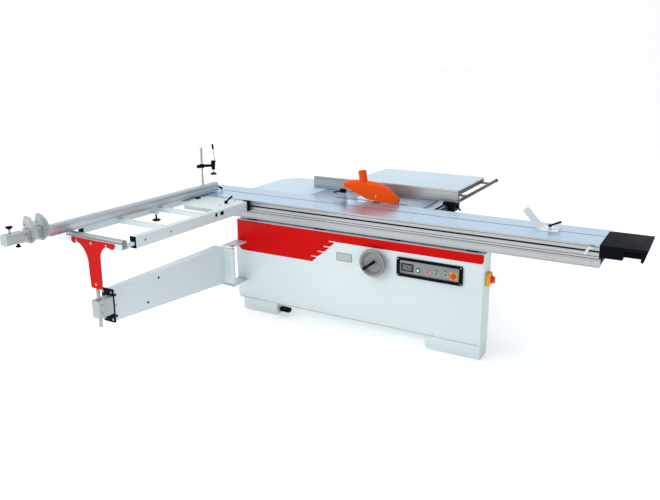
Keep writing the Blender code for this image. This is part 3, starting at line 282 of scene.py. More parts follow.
def at_points(grow, shape, finish):
    """Ends a tree with its shape at every point, facing the point's own direction."""
    facing = grow.node("GeometryNodeInputNamedAttribute", {"data_type": "FLOAT_VECTOR"}, {"Name": "facing"})
    turn = grow.node("FunctionNodeAlignRotationToVector", {"axis": "Z"}, {"Vector": facing})
    grow.end(grow.node("GeometryNodeInstanceOnPoints", None,
                       {"Points": grow.sizes["Geometry"], "Instance": shape, "Rotation": turn}), finish)
    return grow.tree


def bolt_tree(finish):
    """A hexagon head on its washer."""
    grow = Growth("bolts", {"Head radius": 0.006, "Head height": 0.004})
    radius, height = grow.sizes["Head radius"], grow.sizes["Head height"]
    head = grow.node("GeometryNodeMeshCylinder", None, {"Vertices": 6, "Radius": radius, "Depth": height})
    washer = grow.node("GeometryNodeMeshCylinder", None,
                       {"Vertices": 24, "Radius": radius * 1.45, "Depth": height * 0.3})
    up = grow.node("ShaderNodeCombineXYZ", None, {2: height * 0.62})
    flat = grow.node("ShaderNodeCombineXYZ", None, {2: height * 0.15})
    return at_points(grow, grow.joined(grow.moved(head, up), grow.moved(washer, flat)), finish)


def screw_tree(finish):
    """A low round head with its driving socket."""
    grow = Growth("screws", {"Head radius": 0.005, "Head height": 0.002})
    radius, height = grow.sizes["Head radius"], grow.sizes["Head height"]
    rim = grow.node("GeometryNodeMeshCone", None, {
        "Vertices": 24, "Radius Top": radius * 0.72, "Radius Bottom": radius, "Depth": height})
    bit = grow.node("GeometryNodeMeshCylinder", None,
                    {"Vertices": 6, "Radius": radius * 0.42, "Depth": height * 0.3})
    top = grow.node("ShaderNodeCombineXYZ", None, {2: height})
    return at_points(grow, grow.joined(rim, grow.moved(bit, top)), finish)


def row_tree(finish):
    """Equal blocks at an even pitch, such as a scale's ticks or a grip's ribs."""
    grow = Growth("row", {"Count": 10, "Start": (0.0, 0.0, 0.0), "Pitch": (0.01, 0.0, 0.0),
                          "Size": (0.001, 0.001, 0.001)})
    line = grow.node("GeometryNodeMeshLine", None, {
        "Count": grow.sizes["Count"], "Start Location": grow.sizes["Start"], "Offset": grow.sizes["Pitch"]})
    block = grow.node("GeometryNodeMeshCube", None, {"Size": grow.sizes["Size"]})
    grow.end(grow.node("GeometryNodeInstanceOnPoints", None, {"Points": line, "Instance": block}), finish)
    return grow.tree


def tip_tree(finish):
    """Carbide tips round a blade that turns about the Y axis."""
    grow = Growth("tips", {"Teeth": 36, "Radius": 0.15, "Tip": (0.005, 0.003, 0.002)})
    circle = grow.node("GeometryNodeMeshCircle", None,
                       {"Vertices": grow.sizes["Teeth"], "Radius": grow.sizes["Radius"]})
    index = grow.node("GeometryNodeInputIndex")
    step = math.tau / grow.sizes["Teeth"]
    turn = grow.node("ShaderNodeCombineXYZ", None, {2: index * step})
    block = grow.node("GeometryNodeMeshCube", None, {"Size": grow.sizes["Tip"]})
    ring = grow.node("GeometryNodeInstanceOnPoints", None,
                     {"Points": circle, "Instance": block, "Rotation": turn})
    upright = grow.node("GeometryNodeTransform", None, {"Geometry": ring, "Rotation": (math.pi / 2, 0, 0)})
    grow.end(upright, finish)
    return grow.tree


def shown(name, data):
    made = bpy.data.objects.new(name, data)
    bpy.context.scene.collection.objects.link(made)
    return made


def grown(tree, sizes, points=()):
    """The mesh that a tree makes from points, each with the way it faces."""
    base = bpy.data.meshes.new("points")
    base.from_pydata([at for at, _ in points], [], [])
    facing = base.attributes.new("facing", "FLOAT_VECTOR", "POINT")
    facing.data.foreach_set("vector", [c for _, way in points for c in way])
    holder = shown("holder", base)
    modifier = holder.modifiers.new("grow", "NODES")
    modifier.node_group = tree
    for item in tree.interface.items_tree:
        if item.in_out == "INPUT" and item.name in sizes:
            modifier[item.identifier] = sizes[item.name]
    mesh = bpy.data.meshes.new_from_object(holder.evaluated_get(bpy.context.evaluated_depsgraph_get()))
    holder.modifiers.clear()
    bpy.data.objects.remove(holder)
    return mesh


# ---------------------------------------------------------------- shapes
def placed(axis, a, b, along):
    order = {"X": (1, 2, 0), "Y": (0, 2, 1), "Z": (0, 1, 2)}[axis]
    point = [0.0, 0.0, 0.0]
    for slot, value in zip(order, (a, b, along)):
        point[slot] = value
    return point


def lofted(rings, capped=True):
    """One solid through rings of points, with its faces outwards."""
    solid = bmesh.new()
    rows = [[solid.verts.new(point) for point in ring] for ring in rings]
    count = len(rows[0])
    for low, high in zip(rows, rows[1:] if capped else rows[1:] + rows[:1]):
        for i in range(count):
            j = (i + 1) % count
            solid.faces.new((low[i], low[j], high[j], high[i]))
    if capped:
        solid.faces.new(rows[0][::-1])
        solid.faces.new(rows[-1])
    bmesh.ops.remove_doubles(solid, verts=solid.verts, dist=1e-6)
    bmesh.ops.recalc_face_normals(solid, faces=solid.faces)
    return solid


def prism(outline, axis, start, end):
    return lofted([[placed(axis, a, b, along) for a, b in outline] for along in (start, end)])


def block(low, high):
    outline = [(low[0], low[1]), (high[0], low[1]), (high[0], high[1]), (low[0], high[1])]
    return prism(outline, "Z", low[2], high[2])


def turned(profile, origin, way, segments=64, lobes=0, depth=0.0):
    """A loop of (radius, distance) points turned about a direction, with optional lobes."""
    origin, way = Vector(origin), Vector(way).normalized()
    side = way.orthogonal().normalized()
    other = way.cross(side)
    rings = []
    for step in range(segments):
        angle = math.tau * step / segments
        reach = 1.0 - depth * (0.5 - 0.5 * math.cos(lobes * angle)) if lobes else 1.0
        out = side * math.cos(angle) + other * math.sin(angle)
        rings.append([origin + out * (radius * reach) + way * distance for radius, distance in profile])
    return lofted(rings, capped=False)


def rod(start, end, radius, tip=None, segments=40, crown=0.15):
    """A round bar whose ends are slightly crowned."""
    start, end = Vector(start), Vector(end)
    length = (end - start).length
    tip = radius if tip is None else tip
    low, high = min(radius * crown, length * 0.2), min(tip * crown, length * 0.2)
    profile = [(0, 0), (radius - low, 0), (radius - low * 0.3, low * 0.3), (radius, low),
               (tip, length - high), (tip - high * 0.3, length - high * 0.3), (tip - high, length),
               (0, length)]
    return turned(profile, start, end - start, segments)


def ball(centre, radius, way=Z, segments=40):
    steps = 16
    profile = [(radius * math.sin(math.pi * i / steps), -radius * math.cos(math.pi * i / steps))
               for i in range(steps + 1)]
    return turned(profile, centre, way, segments)


def arc(centre, radius, first, last, steps):
    angles = [math.radians(first + (last - first) * i / steps) for i in range(steps + 1)]
    return [(centre[0] + radius * math.cos(t), centre[1] + radius * math.sin(t)) for t in angles]


def rounded(left, bottom, right, top, radius, steps=8):
    outline = []
    for x, y, first in ((right - radius, top - radius, 0), (left + radius, top - radius, 90),
                        (left + radius, bottom + radius, 180), (right - radius, bottom + radius, 270)):
        outline += arc((x, y), radius, first, first + 90, steps)
    return outline


def star_knob(centre, way, radius, height, lobes=6):
    """A clamping knob with finger lobes and a domed top."""
    profile = [(0, 0), (radius * 0.55, 0), (radius * 0.62, height * 0.25), (radius * 0.96, height * 0.35),
               (radius, height * 0.5), (radius, height * 0.8), (radius * 0.9, height * 0.96),
               (radius * 0.6, height), (0, height)]
    return turned(profile, centre, way, 72, lobes, 0.22)


# ---------------------------------------------------------------- pieces
def as_object(name, solids):
    """One object that holds every solid."""
    whole = bpy.data.meshes.new(name)
    gathered = bmesh.new()
    for solid in solids:
        part = bpy.data.meshes.new("part")
        solid.to_mesh(part)
        solid.free()
        gathered.from_mesh(part)
        bpy.data.meshes.remove(part)
    gathered.to_mesh(whole)
    gathered.free()
    return shown(name, whole)


def applied(made):
    """Turns an object's modifiers into its mesh."""
    mesh = bpy.data.meshes.new_from_object(made.evaluated_get(bpy.context.evaluated_depsgraph_get()))
    made.modifiers.clear()
    old, made.data = made.data, mesh
    bpy.data.meshes.remove(old)


def cut(made, solids):
    for solid in solids:
        tool = as_object("tool", [solid])
        modifier = made.modifiers.new("cut", "BOOLEAN")
        modifier.operation = "DIFFERENCE"
        modifier.solver = "EXACT"
        modifier.object = tool
        applied(made)
        bpy.data.objects.remove(tool)


def eased(made, width, segments):
    """Rounds the sharp edges and keeps the flats flat."""
    made.data.shade_smooth()
    if width:
        modifier = made.modifiers.new("ease", "BEVEL")
        modifier.width = width
        modifier.segments = segments
        modifier.limit_method = "ANGLE"
        modifier.angle_limit = SHARP
        modifier.harden_normals = True
        applied(made)
    else:
        made.data.set_sharp_from_angle(angle=SHARP)


def settle(made, body, finish):
    made.data.materials.clear()
    made.data.materials.append(FINISHES[finish].material)
    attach(made, body)
    return made


def piece(name, node, finish, solids, ease=0.0, segments=2, cuts=(), instead=()):
    """A finished piece on a node's body."""
    made = as_object(name, solids)
    cut(made, cuts)
    eased(made, ease, segments)
    settle(made, BODY_OF[node], finish)
    if instead:
        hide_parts(*instead)
    return made


def refined(node, ease=0.001, segments=2, finish=None):
    """A node's own shape with its edges rounded."""
    work = bmesh.new()
    work.from_mesh(NODES[node].data)
    bmesh.ops.remove_doubles(work, verts=work.verts, dist=CORNER)
    bmesh.ops.dissolve_limit(work, angle_limit=math.radians(0.5), verts=work.verts, edges=work.edges)
    made = as_object(node + "_finish", [work])
    eased(made, ease, segments)
    settle(made, BODY_OF[node], finish or SLOT_OF[node])
    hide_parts(node)
    return made


def faced(made, finish, test):
    """Gives a second finish to the faces whose normal and centre pass a test."""
    made.data.materials.append(FINISHES[finish].material)
    index = len(made.data.materials) - 1
    for face in made.data.polygons:
        if test(face.normal, face.center):
            face.material_index = index
    return made


def handle(name, node, hub, lever, tip):
    """A black clamping lever: its hub, its tapered arm and its round tip."""
    return piece(name, node, "black_plastic", [rod(*hub), rod(*lever), ball(*tip)], instead=[node])


def fixings(name, node, tree, points, radius, height):
    """Bolts or screws on a body, as one piece."""
    made = shown(name, grown(tree, {"Head radius": radius, "Head height": height}, points))
    made.data.shade_smooth()
    made.data.set_sharp_from_angle(angle=SHARP)
    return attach(made, BODY_OF[node])


def row(name, node, tree, count, start, pitch, size, slot):
    """Equal blocks on a body, as one piece."""
    made = shown(name, grown(tree, {"Count": count, "Start": start, "Pitch": pitch, "Size": size}))
    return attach(made, BODY_OF[node])


STEEL_BOLTS = bolt_tree(FINISHES["steel"])
DARK_BOLTS = bolt_tree(FINISHES["black_plastic"])
SCREWS = screw_tree(FINISHES["chrome"])
DARK_ROW = row_tree(FINISHES["dark_gap"])
BLACK_ROW = row_tree(FINISHES["black_plastic"])
TIPS = tip_tree(FINISHES["chrome"])


# ---------------------------------------------------------------- base
def cabinets():
    for node, ease, segments in (
            ("front_cabinet", 0.0025, 3), ("body_cabinet", 0.0025, 3), ("plinths", 0.006, 3),
            ("red_panel", 0.0007, 2), ("service_door", 0.0010, 2), ("electrics_box", 0.0015, 2)):
        refined(node, ease, segments)
    refined("outfeed_table", 0.0008, finish="pale_sheet")
    low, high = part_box("front_cabinet")
    front, right = low[1], high[0]
    seam = [block((low[0] + 0.03, front - 0.0006, low[2] + 0.006),
                  (right - 0.002, front + 0.0002, low[2] + 0.0075))]
    piece("cabinet_seam", "front_cabinet", "dark_gap", seam)
    points = [((x, front - 0.0002, 0.112), -Y) for x in (-1.14, -0.62, 0.46, 0.76)]
    points += [((right + 0.0002, y, z), X) for y in (-0.062, 0.050) for z in (0.16, 0.44, 0.69)]
    fixings("cabinet_screws", "front_cabinet", SCREWS, points, 0.0055, 0.0018)
    cover = prism(rounded(-0.060, 0.150, 0.048, 0.460, 0.006), "X", right, right + 0.0014)
    piece("end_cover", "front_cabinet", "cabinet_white", [cover], 0.0004)
    plate = prism(rounded(-0.286, 0.530, -0.160, 0.590, 0.003), "Y", front - 0.0013, front - 0.0001)
    piece("blank_plate", "front_cabinet", "plate_grey", [plate], 0.0003)
    field = [prism(rounded(-0.280, 0.536, -0.166, 0.584, 0.002), "Y", front - 0.0016, front - 0.0012)]
    piece("plate_field", "front_cabinet", "cast_light", field, 0.0001)
    rivets = [((x, front - 0.0013, z), -Y) for x in (-0.281, -0.165) for z in (0.535, 0.585)]
    fixings("plate_rivets", "front_cabinet", SCREWS, rivets, 0.0022, 0.0010)
    foot = block((-0.800, -0.070, 0.038), (-0.715, -0.030, 0.068))
    cap = rod((-0.735, -0.074, 0.053), (-0.735, -0.066, 0.053), 0.010)
    piece("cable_gland", "plinths", "black_plastic", [foot, cap], 0.003, 3)
    levellers = []
    for x, y in ((-1.09, -0.006), (-0.86, -0.006), (0.46, -0.006), (0.74, -0.006)):
        levellers.append(rod((x, y, 0.0005), (x, y, 0.010), 0.024))
    piece("levelling_feet", "plinths", "rubber", levellers)
    low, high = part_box("body_cabinet")
    back = high[1] - 0.070
    ring = turned([(0.0545, 0.052), (0.0570, 0.054), (0.0570, 0.062), (0.0545, 0.064)],
                  (-0.28, back, 0.22), Y)
    piece("dust_band", "body_cabinet", "steel", [ring])
    panel = prism(rounded(-0.60, 0.30, 0.04, 0.66, 0.012), "Y", back - 0.001, back + 0.0015)
    piece("rear_cover", "body_cabinet", "cabinet_white", [panel], 0.0006)
    points = [((x, back + 0.0015, z), Y) for x in (-0.585, -0.28, 0.025) for z in (0.315, 0.645)]
    fixings("rear_screws", "body_cabinet", SCREWS, points, 0.006, 0.0022)
    side = high[0]
    row("motor_louvres", "body_cabinet", DARK_ROW, 14, (side + 0.0002, 0.34, 0.34), (0.0, 0.0, 0.016),
        (0.0010, 0.20, 0.0050), "cabinet_white")
    low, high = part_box("service_door")
    row("door_louvres", "service_door", DARK_ROW, 12, (high[0] - 0.0032, 0.53, 0.24), (0.0, 0.0, 0.016),
        (0.0012, 0.30, 0.005), "cabinet_white")


def panel():
    refined("control_bezel", 0.0040, 4)
    refined("control_plate", 0.0006)
    low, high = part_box("control_plate")
    face, z = low[1], 0.556
    frame_block = prism(rounded(0.224, 0.536, 0.314, 0.592, 0.004), "Y", face - 0.0022, face)
    window = prism(rounded(0.231, 0.543, 0.307, 0.585, 0.002), "Y", face - 0.01, face - 0.0008)
    piece("display_frame", "control_plate", "black_plastic", [frame_block], 0.0008, cuts=[window])
    piece("display", "control_plate", "screen",
          [prism(rounded(0.2312, 0.5432, 0.3068, 0.5848, 0.002), "Y", face - 0.0012, face - 0.0001)])
    digits = []
    for column in range(4):
        x = 0.243 + column * 0.0145
        digits += [block((x, face - 0.0017, z + dz), (x + 0.008, face - 0.0011, z + dz + 0.0022))
                   for dz in (-0.012, 0.006, 0.0208)]
        digits += [block((x + dx, face - 0.0017, z - 0.010), (x + dx + 0.002, face - 0.0011, z + 0.021))
                   for dx in (0.0, 0.006)]
    piece("display_bars", "control_plate", "plate_grey", digits)
    rings = {"white_button": "black_plastic", "red_button": "chrome", "green_button_main": "chrome",
             "green_button_scoring": "chrome", "estop_button": "black_plastic"}
    for node, finish in rings.items():
        low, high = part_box(node)
        centre = ((low[0] + high[0]) / 2, face, (low[2] + high[2]) / 2)
        loop = [(0.0108, 0.0), (0.0150, 0.0), (0.0148, -0.0025), (0.0135, -0.0034), (0.0115, -0.0034),
                (0.0108, -0.0026)]
        piece(node + "_ring", "control_plate", finish, [turned(loop, centre, Y)])
        if node == "estop_button":
            profile = [(0, 0.0034), (0.0098, 0.0034), (0.0098, -0.0078), (0.0172, -0.0080), (0.0190, -0.0095),
                       (0.0190, -0.0130), (0.0178, -0.0158), (0.0140, -0.0180), (0.0070, -0.0188),
                       (0, -0.0190)]
        else:
            profile = [(0, 0.0034), (0.0098, 0.0034), (0.0098, -0.0046), (0.0093, -0.0056), (0.0084, -0.0060),
                       (0.0072, -0.0057), (0.0050, -0.0050), (0, -0.0046)]
        piece(node + "_cap", node, SLOT_OF[node], [turned(profile, centre, Y)], instead=[node])
    square = prism(rounded(0.572, 0.531, 0.622, 0.581, 0.004), "Y", face - 0.0014, face - 0.0001)
    hole = rod((0.597, face - 0.01, z), (0.597, face + 0.01, z), 0.0106, crown=0.0)
    piece("stop_square", "control_plate", "signal_yellow", [square], 0.0004, cuts=[hole])
    curve = arc((0.480, z + 0.012), 0.0125, 25, 155, 16) + arc((0.480, z + 0.012), 0.0095, 155, 25, 16)
    dot = rod((0.543, face - 0.0005, z + 0.026), (0.543, face, z + 0.026), 0.0042)
    for name, mark in (("main_mark", prism(curve, "Y", face - 0.0005, face)), ("scoring_mark", dot)):
        piece(name, "control_plate", "dark_gap", [mark])
    low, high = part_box("control_bezel")
    points = [((x, low[1] - 0.0001, z), -Y) for x in (low[0] + 0.011, high[0] - 0.011)
              for z in (low[2] + 0.011, high[2] - 0.011)]
    fixings("bezel_screws", "control_bezel", SCREWS, points, 0.0042, 0.0014)


def isolator():
    refined("isolator_base", 0.0045, 4)
    low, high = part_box("isolator_base")
    collar = turned([(0.0268, 0.0), (0.0315, 0.0), (0.0310, 0.0030), (0.0290, 0.0040), (0.0268, 0.0036)],
                    (high[0], -0.004, 0.548), X)
    piece("isolator_collar", "isolator_base", "signal_yellow", [collar])
    points = [((high[0] - 0.0003, y, z), X) for y in (-0.036, 0.028) for z in (0.511, 0.585)]
    fixings("isolator_screws", "isolator_base", SCREWS, points, 0.0030, 0.0012)
    low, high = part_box("isolator_knob")
    centre = (low[0], -0.004, 0.548)
    disc = turned([(0, 0), (0.0255, 0), (0.026, 0.001), (0.026, 0.0065), (0.0245, 0.0095), (0.0215, 0.0118),
                   (0, 0.0120)], centre, X, 72, 24, 0.03)
    grip = prism(rounded(-0.011, 0.525, 0.003, 0.571, 0.0065), "X", low[0] + 0.006, high[0])
    piece("isolator_turn", "isolator_knob", "signal_red", [disc, grip], 0.0016, 3, instead=["isolator_knob"])


def handwheel():
    low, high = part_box("handwheel")
    centre = ((low[0] + high[0]) / 2, -0.080, (low[2] + high[2]) / 2)
    rim = (high[0] - low[0]) / 2
    loop = [(0, 0.060), (0.0118, 0.060), (0.0118, -0.011), (0.0226, -0.012), (0.0240, -0.0135),
            (0.0240, -0.026), (0.058, -0.0290), (0.070, -0.0335),
            (rim - 0.022, -0.0400), (rim - 0.019, -0.0355),
            (rim - 0.012, -0.0335), (rim - 0.005, -0.0365), (rim - 0.001, -0.0420), (rim, -0.0470),
            (rim - 0.001, -0.0520), (rim - 0.005, -0.0575), (rim - 0.012, -0.0600), (rim - 0.019, -0.0580),
            (rim - 0.0235, -0.0510), (0.064, -0.0390), (0.050, -0.0358), (0.028, -0.0340), (0.0252, -0.0355),
            (0.0240, -0.0380), (0.0236, -0.0420), (0.0215, -0.0440), (0, -0.0440)]
    wheel = turned(loop, centre, Y, 120)
    way = Vector((math.cos(math.radians(38)), 0, math.sin(math.radians(38))))
    across = Vector((-way.z, 0, way.x))
    pivot = Vector((centre[0], -0.1535, centre[2])) - way * (rim - 0.034)
    lugs = [rod(pivot + across * side + Y * 0.034, pivot + across * side - Y * 0.004, 0.0030)
            for side in (-0.013, 0.013)]
    piece("handwheel_casting", "handwheel", "wheel_grey", [wheel] + lugs, instead=["handwheel"])
    cap = turned([(0, -0.0438), (0.0175, -0.0438), (0.0175, -0.0452), (0.0160, -0.0470), (0, -0.0478)],
                 centre, Y)
    piece("handwheel_cap", "handwheel", "plate_grey", [cap])
    row("handwheel_index", "handwheel", DARK_ROW, 2, (centre[0] - 0.040, centre[1] - 0.0352, centre[2]),
        (0.080, 0, 0), (0.012, 0.0012, 0.002), "black_plastic")
    grip = turned([(0, 0.006), (0.0072, 0.006), (0.0084, 0.012), (0.0090, 0.030), (0.0098, 0.060),
                   (0.0106, 0.085), (0.0104, 0.096), (0.0088, 0.103), (0.0050, 0.1055), (0, 0.106)], pivot, way)
    eye = rod(pivot - across * 0.0095, pivot + across * 0.0095, 0.0095)
    piece("handwheel_handle", "handwheel_grip", "black_plastic", [grip, eye], instead=["handwheel_grip"])
    pin = rod(pivot - across * 0.0145, pivot + across * 0.0145, 0.0022)
    piece("handle_pin", "handwheel", "steel", [pin])


# ---------------------------------------------------------------- tables and rail
def tables():
    refined("main_table", 0.0012, finish="ground_iron")
    refined("table_insert", 0.0004)
    refined("trunnions", 0.0015)
    sheet = refined("rip_table", 0.0015, 3, finish="pale_sheet")
    low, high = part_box("rip_table")
    faced(sheet, "slate", lambda normal, centre: abs(normal.x) > 0.8 and centre.z < high[2] - 0.002)
    rim = [block((x, low[1] + 0.001, high[2] - 0.0125), (x + 0.0012, high[1] - 0.001, high[2] - 0.0015))
           for x in (low[0] - 0.0008, high[0] - 0.0004)]
    piece("rip_table_rim", "rip_table", "signal_white", rim, 0.0003)
    points = [((x, y, high[2] - 0.0018), Z) for x in (-0.72, -0.28, 0.16) for y in (0.96, 1.68)]
    fixings("rip_table_screws", "rip_table", SCREWS, points, 0.0060, 0.0017)
    low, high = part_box("main_table")
    joint = [block((low[0] + 0.001, high[1] - 0.0010, high[2] - 0.0012),
                   (high[0] - 0.001, high[1] + 0.0013, high[2] - 0.0008))]
    piece("table_joint", "main_table", "dark_gap", joint)
    low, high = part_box("outfeed_table")
    points = [((x, y, high[2] - 0.0014), Z) for x in (-0.79, -1.25) for y in (0.37, 0.62)]
    fixings("outfeed_screws", "outfeed_table", SCREWS, points, 0.0060, 0.0014)
    low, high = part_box("rip_bar")
    bar_x, bar_z = high[0] - 0.014, (low[2] + high[2]) / 2
    bar = rod((bar_x, low[1], bar_z), (bar_x, high[1] - 0.030, bar_z), 0.0140, segments=56)
    piece("fence_bar", "rip_bar", "dark_steel", [bar], instead=["rip_bar"])
    piece("bar_end", "rip_bar", "black_plastic",
          [rod((bar_x, high[1] - 0.032, bar_z), (bar_x, high[1] - 0.0002, bar_z), 0.0150)])
    stands = [block((low[0], y - 0.012, bar_z - 0.008), (bar_x - 0.006, y + 0.012, bar_z + 0.008))
              for y in (0.42, 1.05, 1.65)]
    piece("bar_stands", "rip_bar", "cast_iron", stands, 0.0015)


def extrusions():
    low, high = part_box("sliding_table")
    left, right, front, back = low[0], high[0], low[1], high[1]
    bottom, top, wing, slot, groove = low[2], high[2], 0.0275, 0.150, 0.842
    outline = [(front, bottom), (0.140, bottom), (0.140, 0.830), (0.175, top - wing), (back, top - wing),
               (back, top)]
    for line in (0.270, 0.212):
        outline += [(line + 0.0012, top), (line, top - 0.0012), (line - 0.0012, top)]
    outline += [(slot + 0.006, top), (slot + 0.006, top - 0.006), (slot + 0.012, top - 0.006),
                (slot + 0.012, top - 0.014), (slot - 0.012, top - 0.014), (slot - 0.012, top - 0.006),
                (slot - 0.006, top - 0.006), (slot - 0.006, top)]
    for line in (0.088, 0.030, -0.020):
        outline += [(line + 0.0012, top), (line, top - 0.0012), (line - 0.0012, top)]
    outline += [(front, top)]
    outline += [(front, 0.8705), (front + 0.0026, 0.8700), (front + 0.0026, 0.8680), (front, 0.8675)]
    outline += [(front, groove + 0.006), (front + 0.004, groove + 0.006), (front + 0.004, groove + 0.012),
                (front + 0.013, groove + 0.012), (front + 0.013, groove - 0.012),
                (front + 0.004, groove - 0.012), (front + 0.004, groove - 0.006), (front, groove - 0.006)]
    outline += [(front, 0.8145), (front + 0.0028, 0.8140), (front + 0.0028, 0.8115), (front, 0.8110)]
    chambers = [block((left - 0.01, a, 0.805), (right + 0.01, b, top - 0.019))
                for a, b in ((-0.042, 0.045), (0.051, 0.134))]
    chambers.append(block((left - 0.01, 0.185, top - wing + 0.004),
                          (right + 0.01, back - 0.006, top - 0.005)))
    extrusion = piece("sliding_extrusion", "sliding_table", "anodised", [prism(outline, "X", left, right)],
                      0.0005, 2, chambers, instead=["sliding_table"])
    faced(extrusion, "table_top", lambda normal, centre: normal.z > 0.5 and centre.z > top - 0.002)
    # dark blocks filling the front groove and the two notches of the sliding table: painted shade inside them
    shade = [block((left + 0.002, front + 0.0050, groove - 0.0115),
                   (right - 0.002, front + 0.0128, groove + 0.0115)),
             block((left + 0.002, front + 0.0014, 0.8682), (right - 0.002, front + 0.0030, 0.8698)),
             block((left + 0.002, front + 0.0016, 0.8118), (right - 0.002, front + 0.0032, 0.8137))]
    piece("painted_groove_shade", "sliding_table", "dark_gap", shade)
    refined("ball_cage", 0.0)
    low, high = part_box("fixed_rail")
    left, right, front, back, bottom, top = low[0], high[0], low[1], high[1], 0.742, high[2]
    outline = [(front, bottom), (back, bottom), (back, top), (0.120, top), (0.120, 0.757), (-0.040, 0.757),
               (-0.040, top), (front, top)]
    for line, deep in ((0.787, 0.0025), (0.750, 0.0020)):
        outline += [(front, line + 0.0016), (front + deep, line), (front, line - 0.0016)]
    pads = [block((x - 0.04, -0.050, 0.7283), (x + 0.04, 0.060, bottom + 0.002))
            for x in (-1.05, -0.45, 0.15, 0.70)]
    piece("rail_extrusion", "fixed_rail", "anodised", [prism(outline, "X", left, right)], 0.0008, 2,
          instead=["fixed_rail"])
    piece("rail_pads", "fixed_rail", "black_plastic", pads, 0.0015)
    points = [((x, front, 0.7685), -Y) for x in (-1.52, -0.625, 0.298, 1.172, 1.432)]
    fixings("rail_bolts", "fixed_rail", STEEL_BOLTS, points, 0.0058, 0.0030)
    rods = [rod((left + 0.004, y, 0.7600), (right - 0.004, y, 0.7600), 0.0026, segments=20)
            for y in (-0.034, 0.114)]
    piece("track_wires", "fixed_rail", "chrome", rods)


def table_end():
    refined("end_guard", 0.0050, 4)
    low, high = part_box("end_guard")
    row("guard_ribs", "end_guard", BLACK_ROW, 9, (low[0] + 0.012, (low[1] + high[1]) / 2, high[2] + 0.0002),
        (0.0115, 0.0, 0.0), (0.0030, (high[1] - low[1]) * 0.86, 0.0008), "black_plastic")
    points = [((low[0] + 0.030, low[1] - 0.0002, 0.852), -Y), ((low[0] + 0.090, low[1] - 0.0002, 0.852), -Y)]
    fixings("guard_screws", "end_guard", DARK_BOLTS, points, 0.0048, 0.0026)
    refined("table_latch", 0.0008)
    low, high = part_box("edging_shoe")
    top, thick = low[2], 0.0035
    y0, y1 = low[1], high[1]
    bend = 1.0765
    out = [(high[0], top), (high[0], top + thick)]
    out += [(bend + 0.014, top + thick), (bend + 0.006, top + thick + 0.0008),
            (bend - 0.001, top + thick + 0.0045)]
    out += [(0.9720, top + 0.1180), (0.9684, top + 0.1160)]
    out += [(bend - 0.0035, top + 0.0018), (bend + 0.004, top)]
    piece("shoe_plate", "edging_shoe", "signal_white", [prism(out, "Y", y0, y1)], 0.0007,
          instead=["edging_shoe"])
    stud = [rod((1.135, 0.150, top + 0.003), (1.135, 0.150, top + 0.0205), 0.0060),
            rod((1.135, 0.150, top + 0.0034), (1.135, 0.150, top + 0.0060), 0.0140)]
    piece("shoe_stud", "edging_shoe", "chrome", stud)
    low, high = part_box("shoe_lever")
    z = low[2]
    handle("shoe_handle", "shoe_lever", ((1.135, 0.150, z), (1.135, 0.150, z + 0.014), 0.0110),
           ((1.135, 0.150, z + 0.008), (1.185, 0.215, z + 0.0215), 0.0052, 0.0078),
           ((1.1838, 0.2135, z + 0.0206), 0.0082))


